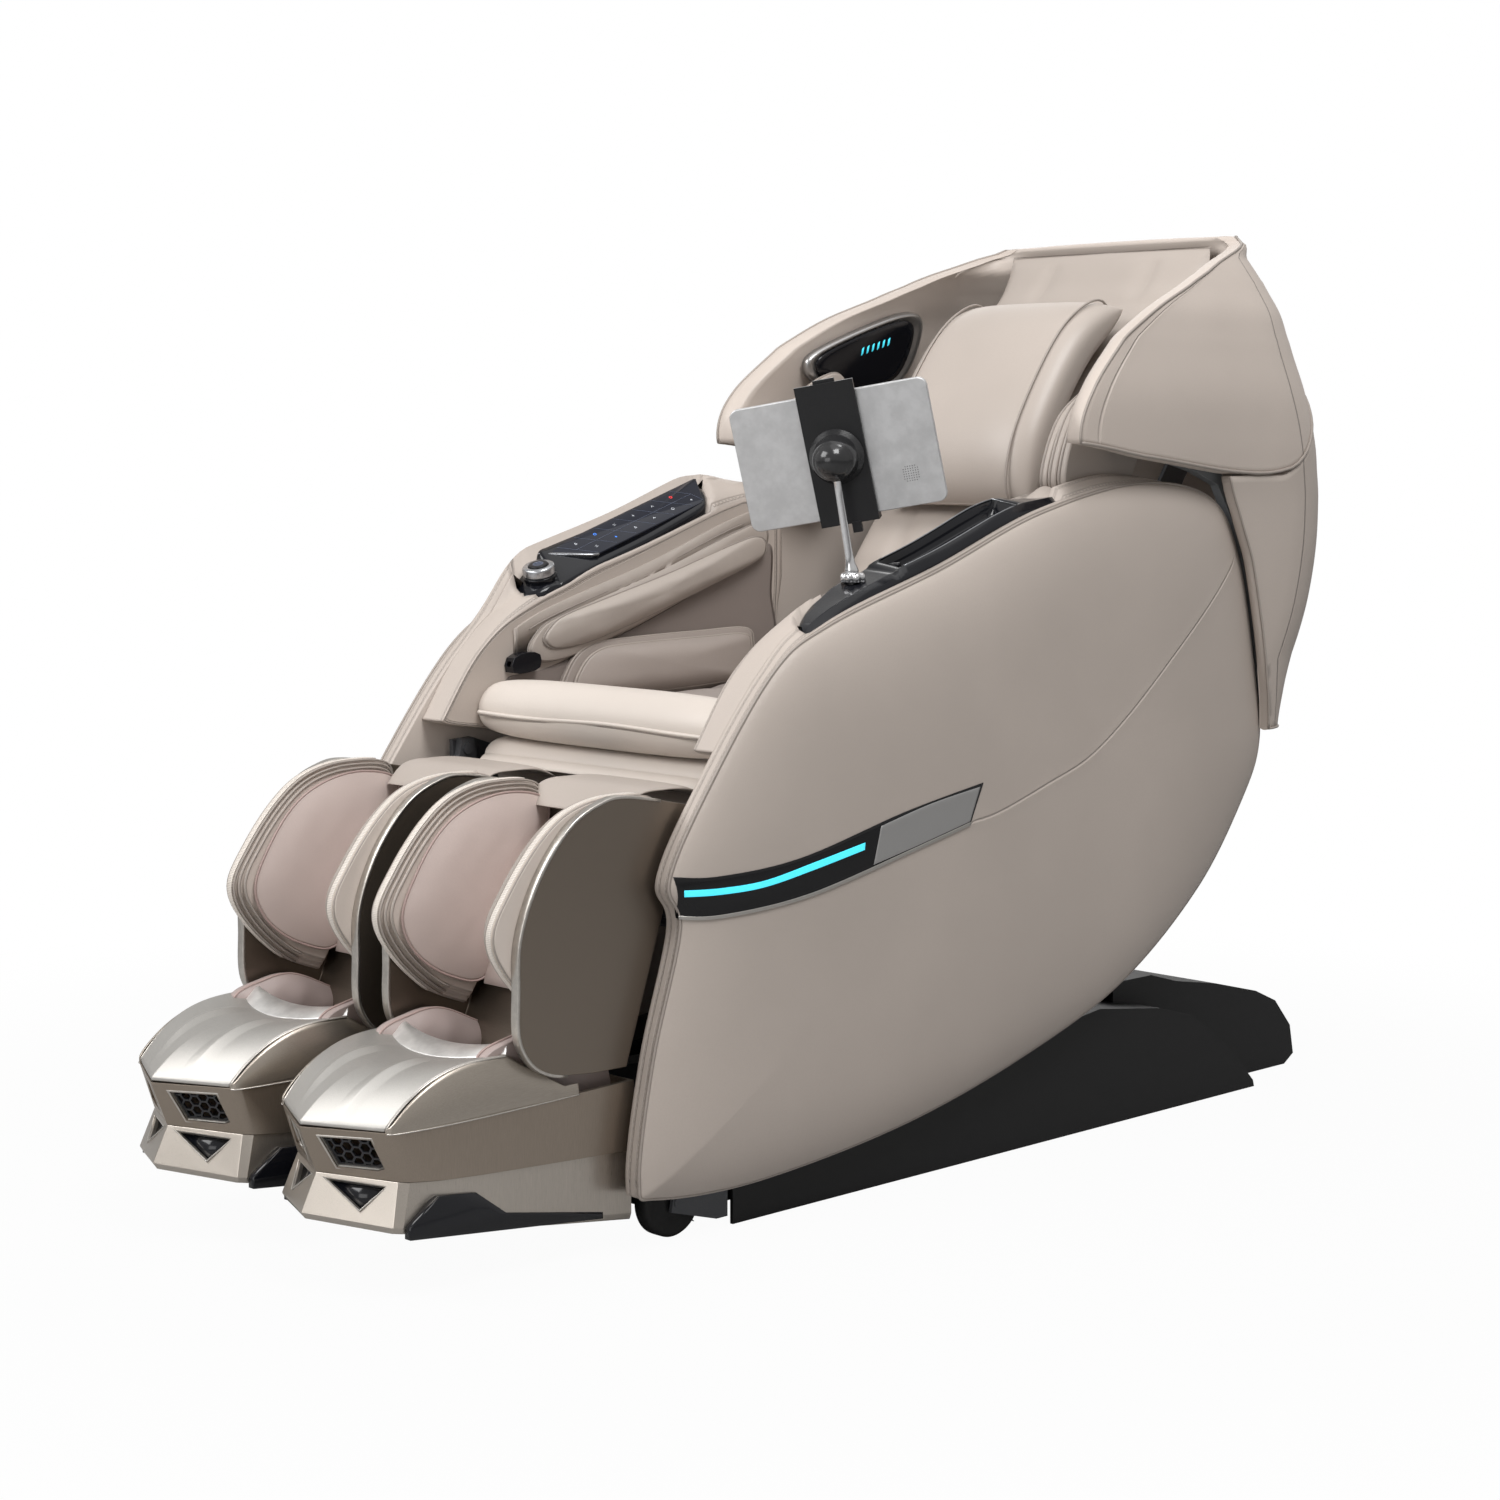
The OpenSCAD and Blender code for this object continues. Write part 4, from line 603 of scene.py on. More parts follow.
# Seat: a sewn cushion with channels, a light padded roll along its front edge, and below
# it a thin flap over folded lining that closes the gap to the legrest.
def cushion(name, path, half_w, thick, channels=0, sink=5.0, tufts=0, steps=56, around=72, sag=0.0):
    """Superellipse sections along a side-view path. Width is |cos|^0.5 and height |sin|^0.8;
    the ends fall as (1 - t^4)^0.5, and channels sink the upper side as |cos|^10 of the way."""
    path = spline(path, 12)
    reach = walked(path)
    v = ((1 - np.cos(np.linspace(0.0, 1, steps) * np.pi)) / 2)[:, None]
    at = np.column_stack([np.interp(v[:, 0] * reach[-1], reach, path[:, k]) for k in (0, 1)])
    up = left_of(unit(np.gradient(at, axis=0)))
    a = (np.arange(around) / around * 2 * np.pi)[None]
    u = np.sign(np.cos(a)) * np.abs(np.cos(a)) ** 0.5
    h = np.sign(np.sin(a)) * np.abs(np.sin(a)) ** 0.8
    height = thick / 2 * h * np.maximum(0.12, (1 - np.abs(2 * v - 1) ** 4) ** 0.5)
    top = np.clip(h, 0, 1) ** 0.5
    if channels:
        groove = np.abs(np.cos(np.pi * channels * v)) ** 10
        if tufts:
            groove = np.maximum(groove, np.abs(np.cos(np.pi * tufts * (u + 1) / 2)) ** 14 * 0.8)
        height = height - sink * groove * top
    height = height + sag * np.sin(u * 7 + v * 4) * np.sin(v * 9) * top
    width = half_w * (1 - 0.03 * np.abs(2 * v - 1) ** 6) * u
    return rings(name, np.concatenate([width[..., None], at[:, None] + up[:, None] * height[..., None]], -1))


seat_leather = leather("seat_leather", (0.36, 0.315, 0.29), soft=1.5)
cream_leather = leather("cream_leather", (0.64, 0.575, 0.52), soft=0.9, rough=0.43)
cream_edge = leather("cream_edge", (0.42, 0.37, 0.335), rough=0.42, soft=0)
seat_path = [[-215, 588], [-100, 580], [60, 584], [170, 596], [252, 624]]
roll_path = [[-226, 628], [-262, 628], [-280, 608], [-274, 586], [-244, 578]]
flap_path = [[-234, 564.5], [-262, 560.1], [-279, 549], [-284, 534]]
under_path = [[-236, 552], [-262, 549], [-288, 541], [-299, 533]]
gusset_path = [[-238, 548], [-262, 528], [-252, 505], [-270, 486], [-258, 462]]
seat_pad = cushion("seat_pad", seat_path, 236, 68, channels=3, sink=6)
dressed(seat_pad, "seat", "taupe_hide", seat_leather, "seat_cushion", fill=0.7)
roll = cushion("seat_front_roll", roll_path, arm_face - 0.3, 37, around=96, sag=0.7)
dressed(roll, "seat", "cream_hide", cream_leather, "front_roll", fill=0.8)
for name, x in (("left", 214), ("right", -214)):
    line = spline(roll_path, 8)
    line = line + left_of(unit(np.gradient(line, axis=0))) * 18.6
    dressed(tube(f"roll_bead_{name}", at_x(x, line), 1.6), "seat", "cream_hide", cream_edge)
flap = cushion("seat_flap_skin", flap_path, 236, 7, around=96, sag=0.9)
dressed(flap, "seat", "cream_hide", cream_leather, "seat_flap", fill=0.3)
across = np.linspace(-227, 227, 90)
# The welt runs along the roll's lower front; the crease below it is a thin dark tube, painted shade in the
# fold.
for name, y, z, radius, look in (("roll_welt", -298.4, 601, 2.8, cream_leather),
                                 ("roll_crease", -297.6, 597.6, 1.6, edge_leather)):
    line = np.column_stack([across, y - 0.4 * np.sin(across / 40), z + 1.8 * np.sin(across / 55 + 1)])
    dressed(tube(name, line, radius), "seat", "cream_hide", look)
under = cushion("seat_flap_under", under_path, 232, 6, around=96, sag=0.8)
dressed(under, "seat", "cream_hide", cream_leather, fill=0.3)
gusset = cushion("seat_gusset", gusset_path, 243, 9, around=96, sag=1.5)
dressed(gusset, "seat", "taupe_hide", bag_leather, fill=0.2)


# Controls: a gloss black pod let into the right arm's bolster. It carries a glass touch
# panel leaning to the sitter, a turned knob with a push button, and a silver bevel.
def let_in(name, side, y, *section):
    """A body let into an arm: at each y its section runs through the given pairs of a
    distance from the joint of arm and panel and a height."""
    grid = [np.stack(np.broadcast_arrays(side * (panel_inner + u), y, z), -1) for u, z in section]
    return rings(name, np.concatenate(grid, 1))


pod_rows = spline([
    [-184, -17, 5, 8, 13], [-176, -28, 9.5, 15, 23], [-160, -38, 13, 17, 32], [-146, -40.6, 13.5, 18, 36],
    [-133, -41.2, 13.5, 15, 41], [-127, -41.4, 13.5, 16, 56], [-110, -41.4, 13.5, 18, 57],
    [-62, -41.4, 13.5, 22, 57], [5, -41.4, 13.5, 25, 57], [75, -41.4, 13.5, 28, 57],
    [135, -41.4, 13.5, 30, 57], [150, -35, 13.5, 34, 57], [160, -23, 13.5, 40, 57], [172, 0, 13, 46, 54]], 4)
y, inner, outer, low, high = pod_rows.T[..., None]
z = seam_z(y)
across = np.linspace(0, 1, 9)[None]
gloss_black = gloss("gloss_black", (0.006, 0.0065, 0.009), 0.14, coat=0.15)
pod = let_in("control_pod", -1, y, (inner, z + 0.6), (inner, z + np.maximum(2, low - 9)),
             (inner + 1.2, z + np.maximum(2.5, low - 4)),
             (inner + 4 + (outer - 6 - inner) * across, z + low - 0.6 + (high - low) * across),
             (outer - 0.5, z + high - 1.2), (outer, z + high - 3), (outer, z + 0.6))
dressed(pod, "seat", "gloss_black", gloss_black, "control_housing")


def spun(points, first, second, degrees):
    """Points turned in the plane of two axes, from the first axis towards the second."""
    p, c, s = np.array(points, float), math.cos(math.radians(degrees)), math.sin(math.radians(degrees))
    a, b = p[..., first].copy(), p[..., second].copy()
    p[..., first], p[..., second] = a * c - b * s, a * s + b * c
    return p


def turned(points, at, rise, lean, side=1):
    """Local points leaned about y, raised about x and moved into place, in mm."""
    return (spun(spun(points, 2, 0, lean), 1, 2, rise) + at) * [side, 1, 1]


def revolved(name, profile, place, turns=64, teeth=0, tooth=0.0, toothed=()):
    """A profile of [radius, height] turned about its own axis; toothed rows swell and
    sink round the turn as a cosine."""
    profile = np.array(profile, float)
    a = np.arange(turns) / turns * 2 * np.pi
    radius = np.repeat(profile[:, :1], turns, 1)
    radius[list(toothed)] += tooth * np.cos(teeth * a)
    grid = np.stack([radius * np.cos(a), radius * np.sin(a), np.broadcast_to(profile[:, 1:], radius.shape)], -1)
    return rings(name, turned(grid, *place))


def inward(outline, mitred=False):
    """The way in at each corner. A mitred step is longer, so that both edges move by one."""
    n1, n2 = left_of(unit(outline - np.roll(outline, 1, 0))), left_of(unit(np.roll(outline, -1, 0) - outline))
    n = (n1 + n2) / (1 + (n1 * n2).sum(1))[:, None] if mitred else unit(n1 + n2)
    return n * np.sign(((outline.mean(0) - outline) * n).sum(1))[:, None]


def plate_on(name, outline, tops, place):
    """A flat plate with a drawn-in bevelled top: rings of the outline at the given
    [inset, height] steps."""
    grid = [np.column_stack([outline + inward(outline) * inset, np.full(len(outline), height)])
            for inset, height in tops]
    return rings(name, turned(np.array(grid), *place))


glass_place = (panel_inner - 11, 20, 846.6), 18.9, -27.9, -1
knob_place = (panel_inner - 11, -144, 775), 18.9, -8, -1
glass_plan = np.array([[24.5, -150], [24.5, 160], [22, 163], [-22, 133], [-26.8, 126], [-27, -84], [-22, -93]])
fine_glass = np.vstack([np.linspace(a, b, 12, endpoint=False)
                        for a, b in zip(glass_plan, np.roll(glass_plan, -1, 0))])
glass_look = gloss("panel_glass", (0.003, 0.005, 0.014), 0.1, coat=0.2)
glass = plate_on("touch_glass", fine_glass, [(0, -6), (0, -1.2), (0.4, -0.3), (1.2, 0)], glass_place)
dressed(glass, "seat", "panel_glass", glass_look, "touch_panel")
bevel_metal = brushed("bevel_metal", (0.36, 0.37, 0.39), 0.26)
bevel = np.array([[-27.0, -84], [-22, -93], [24.5, -150], [24.5, -154.5], [-23.6, -95.8], [-28.6, -86]])
bevel_strip = plate_on("touch_glass_bevel", bevel, [(0, -5), (0, -0.6), (0.5, 0.2)], glass_place)
dressed(bevel_strip, "seat", "satin_chrome", bevel_metal)

# Key marks: printed cell lines and small icons on the glass, two blue and one red.
line_ink = glowing("line_ink", (0.12, 0.14, 0.20), 0.06)
white_ink = glowing("white_ink", (0.72, 0.75, 0.80), 0.35)
blue_ink = glowing("blue_ink", (0.05, 0.22, 0.75), 0.9)
red_ink = glowing("red_ink", (0.80, 0.03, 0.03), 0.9)
stroke_faces = np.array([[4, 5, 6, 7], [3, 2, 1, 0], [0, 1, 5, 4], [1, 2, 6, 5], [2, 3, 7, 6], [3, 0, 4, 7]])


def mark(name, strokes, look, width=0.45):
    """Thin flat strokes on the glass; each is a low box between two points."""
    a, b = np.array(strokes, float).swapaxes(0, 1)
    n = left_of(unit(b - a)) * width / 2
    plan = np.stack([a - n, b - n, b + n, a + n], 1)
    low, high = (np.concatenate([plan, np.full((len(a), 4, 1), height)], 2) for height in (0.02, 0.25))
    faces = (np.arange(len(a))[:, None, None] * 8 + stroke_faces).reshape(-1, 4)
    piece = solid(name, turned(np.stack([low, high], 1), *glass_place), [faces], smooth=False)
    dressed(piece, "seat", "panel_glass", look)


def skewed(u, v):
    """A place on the glass: v along it from the front, its rows slanted as the front edge."""
    return (u, v - 0.9 * (u + 2))


rows = np.linspace(-104, 128, 7)
lines = [(skewed(-1.5, rows[0]), skewed(-1.5, rows[-1]))]
for v in rows:
    lines += [(skewed(22, v), skewed(-1.5, v)), (skewed(-1.5, v), skewed(-23.5, v if v < 100 else 112))]
mark("key_lines", lines, line_ink, 0.35)


def icon(u, v, kind):
    """Strokes of a plain sign: an arrow, ring, bars, plus or chevron."""
    t = np.linspace(0, 2 * np.pi, 9)
    ring = 2.2 * np.stack([np.cos(t), np.sin(t)], -1)
    strokes = {
        "ring": np.stack([ring[:-1], ring[1:]], 1),
        "bars": [((k, -2), (k, 2)) for k in (-1.2, 1.2)],
        "arrow": [((-2, -1.6), (2, 0)), ((2, 0), (-2, 1.6)), ((-2, 1.6), (-2, -1.6))],
        "plus": [((-2, 0), (2, 0)), ((0, -2), (0, 2))],
        "chevron": [((-1.6, -2), (1.6, 0)), ((1.6, 0), (-1.6, 2))]}
    return [*(np.array(strokes[kind]) + skewed(u, v))]


cells = [(u, v) for u in (10, -12.5) for v in rows[:-1] + 19]
kinds = ["arrow", "ring", "bars", "plus", "chevron", "ring",
         "bars", "plus", "arrow", "chevron", "ring", "plus"]
blue_keys, red_keys = (1, 7), (5,)
for name, chosen, look, width in (
        ("key_signs_white", [k for k in range(12) if k not in blue_keys + red_keys], white_ink, 0.45),
        ("key_signs_blue", blue_keys, blue_ink, 0.8), ("key_sign_red", red_keys, red_ink, 0.8)):
    mark(name, [stroke for k in chosen for stroke in icon(*cells[k], kinds[k])], look, width)

# Knob: a flared black foot, a silver ring with fine grip lines and a black push button.
knob_metal = brushed("knob_metal", (0.50, 0.51, 0.53), 0.24, (1, 1, 30))
knob_black = gloss("knob_black", (0.008, 0.008, 0.01), 0.34)
foot_profile = [[22.2, -8], [22.6, -4], [23.4, 2], [24.2, 4.4], [23.6, 5], [8, 5], [6.3, 4.6], [6.3, -8]]
grip_profile = [[6, -11], [6, 5.4], [21.6, 5.4], [22.8, 6.2], [22.9, 8], [22.9, 15.2], [22.4, 17.6], [20.6, 19],
                [16.4, 19.3], [14.7, 18.9], [14.4, 18.2], [14.4, 14.2]]
push_profile = [[3, 9.6], [3, 15.9], [13.2, 15.9], [13.9, 16.6], [13.9, 20.0], [13.2, 20.9],
                [11, 21.2], [5, 20.7]]
sign_profile = [[6.6, 20.9], [6.6, 21.3], [7.5, 21.3], [7.5, 20.9]]
for name, profile, body, slot, look, nodes, grip in (
        ("knob_foot", foot_profile, "seat", "gloss_black", gloss_black, [], (64,)),
        ("knob_grip", grip_profile, "knob", "satin_chrome", knob_metal, ["knob_ring"], (192, 64, 0.14, (4, 5))),
        ("knob_push", push_profile, "button", "gloss_black", knob_black, ["knob_button"], (64,)),
        ("knob_sign", sign_profile, "button", "gloss_black", line_ink, [], (48,))):
    dressed(revolved(name, profile, knob_place, *grip), body, slot, look, *nodes)


# Tray: a gloss black console let into the left arm's top. Its inner side is a raised rim,
# its outer side a chamfer, and between them lies a deep rest for a telephone.
tray_rows = spline([
    [-208, 6, 20, 4, 4], [-196, -10, 20, 8, 9], [-162, -28, 20, 12, 13], [-134, -34, 20, 16, 15],
    [-104, -40, 20, 20, 17], [-60, -40, 20, 22, 19], [-44, -40, 20, 24, 20], [-32, -40, 20, 28, 21],
    [30, -40, 20, 29, 21], [90, -40, 20, 30, 21], [150, -40, 20, 31, 21], [200, -40, 20, 26, 19],
    [234, -37, 20, 16, 15], [270, -29, 17, 9, 11]], 5)
y, inner, outer, low, high = tray_rows.T[..., None]
z = seam_z(y)
across = np.concatenate([[0, 0.02, 0.05], np.linspace(0.1, 0.9, 25), [0.96, 1.0]])[None]
u = inner + 3 + (outer - 14 - inner) * across
# The rest is a well: 0 to 1 between its walls, across and along the tray.
well = (eased(-33.6, -31.4, u) * (1 - eased(5.2, 7.4, u))) * (eased(-31, -12, y) * (1 - eased(193, 196, y)))
top = z + low + (high - low) * across
top = top - (top - z - 6.2) * well
top = top - 0.8 * eased(-52, -46, y) * (1 - eased(-36, -32, y)) * (1 - well)
tray = let_in("tray_console", 1, y, (inner, z + 1), (inner, z + np.maximum(1.5, low - 3)),
              (inner + 0.8, z + low - 1), (u, top), (outer - 10.6, z + high - 0.4),
              (outer - 0.6, z + np.maximum(2, high - 10.2)), (outer, z + np.maximum(1.6, high - 11.4)),
              (outer, z + 1))
dressed(tray, "seat", "gloss_black", gloss_black, "phone_tray")
back_way = np.linspace(-24, 194, 30)
sill = np.vstack([np.column_stack([np.full(30, panel_inner + at), way,
                                   np.interp(way, y[:, 0], (z + edge)[:, 0]) + 0.2])
                  for at, way, edge in ((-34.2, back_way, low), (8.0, back_way[::-1], high))])
dressed(tube("tray_well_edge", sill, 0.9), "seat", "satin_chrome", bevel_metal)
latch = plate_on("tray_latch", np.array([[-9, -4], [9, -4], [9, 4], [-9, 4.0]]), [(0, -4), (0, 1.4), (0.8, 2)],
                 ((panel_inner - 13, -21, seam_z(-21) + 21), 20, 0))
dressed(latch, "seat", "gloss_black", gloss_black)

# Stalk: a chromed rosette screws a tapered post down; the post ends in a ball.
chrome = brushed("chrome", (0.78, 0.78, 0.79), 0.12, (40, 40, 2), 0.00001)
stalk_foot, ball_at = np.array([panel_inner - 22.3, -87, 787]), np.array([panel_inner - 22.3, -122, 941])
a = np.arange(96) / 96 * 2 * np.pi
scallop = (17 - 2.6 * np.abs(np.cos(4 * a)) ** 3) * np.stack([np.cos(a), np.sin(a)])
rosette = rings("rosette", np.array([
    stalk_foot + np.column_stack([*(scallop * k), np.full(96, height)])
    for k, height in ((1.0, 0), (1.0, 7.5), (0.97, 9), (0.84, 11.2), (0.6, 12), (0.5, 12))]))
dressed(rosette, "post", "chrome", chrome)
reach = ball_at - stalk_foot - [0, 0, 4]
length = np.linalg.norm(reach)
post_profile = [[6.5, -16], [6.5, 4], [8.6, 7], [9.2, 10], [8.4, 14], [6.4, 20], [5.4, 32], [5.2, 60],
                [4.9, 110], [4.9, length - 26], [6.6, length - 23], [6.9, length - 18],
                [5.4, length - 15], [5.4, length - 8]]
post_tilt = math.degrees(math.atan2(-reach[1], reach[2]))
post = revolved("stalk_post", post_profile, (stalk_foot + [0, 0, 4], post_tilt, 0))
dressed(post, "post", "chrome", chrome, "stalk")
t = np.linspace(0.08, math.pi - 0.08, 28)
ball = revolved("stalk_ball", 20 * np.column_stack([np.sin(t), -np.cos(t)]), (ball_at, 0, 0))
dressed(ball, "post", "chrome", chrome)


# Tablet holder: a black strap with a domed socket behind it grips the tablet between a
# hooked foot and a sprung upper jaw.
def carried(node, body, slot, look, width=0.6, segments=2, angle=30):
    """A CAD node's solid, with its loose triangles merged and its edges rounded, stands
    for the node."""
    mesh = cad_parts[node].data.copy()
    piece = bpy.data.objects.new(node + "_finished", mesh)
    scene.collection.objects.link(piece)
    work = bmesh.new()
    work.from_mesh(mesh)
    bmesh.ops.remove_doubles(work, verts=work.verts, dist=1e-5)
    bmesh.ops.dissolve_limit(work, angle_limit=math.radians(0.5), verts=work.verts, edges=work.edges)
    work.to_mesh(mesh)
    work.free()
    bevel = piece.modifiers.new("rounded_edges", "BEVEL")
    bevel.width, bevel.segments, bevel.angle_limit = width / 1000, segments, math.radians(angle)
    mesh.polygons.foreach_set("use_smooth", np.ones(len(mesh.polygons), bool))
    piece.modifiers.new("flat_faces", "WEIGHTED_NORMAL").keep_sharp = True
    dressed(piece, body, slot, look, node)


satin_black = gloss("satin_black", (0.012, 0.012, 0.013), 0.36, spots=0.3)
tablet_metal = brushed("tablet_metal", (0.63, 0.63, 0.635), 0.5, (1, 1, 1), 0.000001)
carried("tablet_clamp", "clamp", "black_plastic", satin_black, 0.9)
carried("clamp_jaw", "jaw", "black_plastic", satin_black, 0.9)
carried("tablet", "clamp", "tablet_silver", tablet_metal, 1.6, segments=3)


def on_tablet(points):
    """Points drawn on the tablet (x across, y out of its back, z up), in mm."""
    return spun(turned(points, (0, 0, 0), 10, -10), 0, 1, 35) + ball_at


def disc(name, at, profile, turns=32):
    """A turned piece standing out of the tablet's rear or front face."""
    a = np.arange(turns) / turns * 2 * np.pi
    grid = [np.column_stack([at[0] + r * np.cos(a), np.full(turns, h), at[1] + r * np.sin(a)])
            for r, h in profile]
    return rings(name, on_tablet(grid))


def joined(name, parts):
    """Several pieces of one material made one."""
    bpy.ops.object.select_all(action="DESELECT")
    for part in parts:
        part.select_set(True)
    bpy.context.view_layer.objects.active = parts[0]
    if len(parts) > 1:
        bpy.ops.object.join()
    parts[0].name = name
    return parts[0]


socket = disc("ball_socket", (0, 0), [
    (3, -27.2), (9, -26), (14, -23.4), (18.5, -19), (21.4, -14.6), (22.8, -12.4), (25, -10.5), (26.6, -6),
    (28.2, 4), (29, 15), (30, 18), (35, 22), (35.6, 24), (35.2, 26.4)], 96)
dressed(socket, "clamp", "black_plastic", gloss("socket_black", (0.02, 0.02, 0.021), 0.2, coat=0.4))
# Speaker holes: small dark discs on the tablet's back, painted shade for the holes.
holes = [disc("dot", (88 + i * 3.1, -38 + j * 3.1), [(0.6, 31.0), (0.6, 31.35), (0.4, 31.4)], 8)
         for i in range(-4, 5) for j in range(-4, 5) if i * i + j * j < 14]
speaker_hole_shade = gloss("speaker_hole_shade", (0.03, 0.03, 0.03), 0.5)
dressed(joined("tablet_speaker_dots", holes), "clamp", "black_plastic", speaker_hole_shade)
screen_line = np.array([[-122, -74], [-122, 74], [-118, 78], [118, 78], [122, 74], [122, -74],
                        [118, -78], [-118, -78]])
screen = rings("tablet_screen", on_tablet([
    np.insert(screen_line * k, 1, height, 1) for k, height in ((1.0, 38.9), (1.0, 39.5), (0.99, 39.7))]))
dressed(screen, "clamp", "panel_glass", glass_look)


# Back shell and head hood: wide wings of padded leather round the sleeper's head, and a
# rear shell below them. The wings are piped along their front edges and seamed at the
# shell; a dark skirt closes the gap to the side panels.
back_stations = np.array([
    [548, 340, 825, 190], [592, 343, 852, 200], [652, 345, 898, 200], [724, 345, 933, 200],
    [804, 345, 953, 200], [878, 345, 957, 200], [915, 347, 950, 200], [966, 350, 937, 200],
    [1031, 349, 913, 200], [1105, 334, 879, 180], [1149, 322, 856, 160], [1193, 300, 831, 140],
    [1218, 284, 817, 130], [1248, 258, 803, 110], [1263, 222, 797, 90]])


def station(table, key, column=1):
    """Catmull-Rom look-up of a column at the given keys."""
    table, key = np.asarray(table, float), np.clip(np.asarray(key, float), table[0][0], table[-1][0])
    i = np.clip(np.searchsorted(table[:, 0], key, "right") - 1, 0, len(table) - 2)
    t = (key - table[i, 0]) / (table[i + 1, 0] - table[i, 0])
    v = table[:, column]
    return between(v[np.maximum(i - 1, 0)], v[i], v[i + 1], v[np.minimum(i + 2, len(v) - 1)], t)


def plan_point(t, z, front, inset):
    """The shell seen from above: t runs along the flank to 0.4, round the corner to 0.85
    and across the rear to the middle at 1."""
    a, rear, r = (station(back_stations, z, column) - inset for column in (1, 2, 3))
    r = np.maximum(20, r)
    front = np.minimum(front, rear - 3)
    ry = np.minimum(r, rear - front)
    g = np.clip((t - 0.4) / 0.45, 0, 1) * np.pi / 2
    x = np.where(t < 0.4, a, np.where(t < 0.85, a - r + r * np.cos(g), (a - r) * (1 - t) / 0.15))
    y = np.where(t < 0.4, front + (rear - ry - front) * np.minimum(t, 0.4) / 0.4, rear - ry + ry * np.sin(g))
    return np.stack(np.broadcast_arrays(x, y, z), -1)


seam_heights = [[0, 962], [0.1, 945], [0.3, 920], [0.4, 926], [0.5, 966], [0.62, 1031], [0.8, 1072], [1, 1085]]
hood_fronts = [[915, 300], [966, 264], [1031, 290], [1105, 376], [1149, 466], [1193, 582], [1218, 650],
               [1248, 738], [1263, 772]]
shell_fronts = [[548, 714], [620, 702], [708, 684], [795, 660], [860, 628], [918, 600]]
half = np.concatenate([[0, 0.012, 0.03], np.linspace(0.06, 1, 40)])
columns = np.concatenate([half, half[::-1][1:]])
hand = np.where(np.arange(len(columns)) < len(half), 1, -1)


def shell_face(low, high, fronts, slope, inset, rows):
    """One face of a shell: its heights run evenly from the lower to the upper edge."""
    z = low + (high - low) * np.linspace(0, 1, rows)[:, None]
    p = plan_point(np.broadcast_to(columns, z.shape), z, station(fronts, z) + inset * slope, inset)
    p[..., 0] *= hand
    return p


def hood_side(inset):
    return shell_face(station(seam_heights, columns), 1263, hood_fronts, 0.3, inset, 46)


def rear_side(inset):
    return shell_face(548, station(seam_heights, np.maximum(columns, 0.33)) - 4, shell_fronts, 0, inset, 40)


def walled(name, face, thick, bulge, **attributes):
    """A closed wall between a face and its copy at a depth, joined round the rim by rows
    that bulge outwards as 1 - (2k - 1)^2, less so near the four corners."""
    outer, inner = face(0), face(thick)
    m, n = outer.shape[:2]

    def rim(grid, k=0):
        """The loop round a grid, or the row inside it where k is 1."""
        return np.concatenate([grid[k], grid[1:, -1 - k], grid[-1 - k, -2::-1], grid[-2:0:-1, k]])

    out = rim(outer) - rim(outer, 1)
    out /= np.maximum(np.linalg.norm(out, axis=1), 1e-6)[:, None]
    out = sum(np.roll(out, k, 0) for k in range(-4, 5)) / 9
    count = len(out)
    apart = np.abs(np.arange(count)[:, None] - [0, n - 1, n + m - 2, 2 * n + m - 3])
    out *= np.clip(np.minimum(apart, count - apart).min(1) / 6, 0.1, 1)[:, None]
    around = [rim(outer) + (rim(inner) - rim(outer)) * k + out * bulge * (1 - (2 * k - 1) ** 2)
              for k in (0.12, 0.3, 0.5, 0.7, 0.88)]
    index = np.arange(m * n).reshape(m, n)
    between_rims = 2 * m * n + np.arange(len(around) * count).reshape(-1, count)
    rows = np.pad(np.vstack([rim(index), between_rims, rim(index) + m * n]), ((0, 0), (0, 1)), "wrap")
    filled = {key: np.concatenate([np.broadcast_to(v, (m, n)).ravel(), np.ones(m * n + len(around) * count)])
              for key, v in attributes.items()}
    return solid(name, np.concatenate([outer.reshape(-1, 3), inner.reshape(-1, 3), *around]),
                 [quads(index), quads(index + m * n)[:, ::-1], quads(rows)[:, ::-1]], **filled)


corner_away, edge_away = (columns - 0.45) * 0.62, (columns - 0.034) * 0.62
# Painted light: the hood's leather is the panels' hide times 1.18 and the shell's times 1.04, lit copies of one
# leather. Their seam at the corner is painted shade, and the hood's second line, just inside its front edge, is
# a painted highlight.
hood_leather = leather("hood_leather", shade(hide, 1.18), "seam", soft=0.35, second="crossing")
shell_leather = leather("shell_leather", shade(hide, 1.04), "seam", soft=0.35)
hood = walled("hood_leather_skin", hood_side, 30, 5, seam=corner_away, along=hood_side(0)[..., 2] / 1000,
              crossing=edge_away)
dressed(hood, "back", "hide", hood_leather, "head_hood", fill=0.9)
shell = walled("rear_shell_skin", rear_side, 16, 3, seam=corner_away, along=rear_side(0)[..., 2] / 1000)
dressed(shell, "back", "hide", shell_leather, "back_shell", fill=0.95)
hood_rim, shell_rim = hood_side(-0.6), rear_side(-0.4)
for name, path, radius in (
        ("hood_seam", hood_rim[0], 2.4), ("hood_left", hood_rim[:, -1], 2.0),
        ("hood_right", hood_rim[:, 0], 2.0), ("hood_top", hood_rim[-1], 2.0),
        ("shell_left", shell_rim[:, -1], 1.8), ("shell_right", shell_rim[:, 0], 1.8),
        ("shell_foot", shell_rim[0], 1.8)):
    dressed(tube(name + "_piping", path, radius), "back", "hide", piping_leather)
skirt_cloth = leather("skirt_cloth", (0.20, 0.21, 0.22), rough=0.5, soft=0.3)
carried("side_plates", "back", "black_plastic", skirt_cloth, 0.8, segments=1)

# Back mat: quilted leather over the massage rollers, a lining that hangs from it behind
# the seat, and a smooth head pillow with a piped side gusset in front of it.
back_lean = math.radians(36.5)


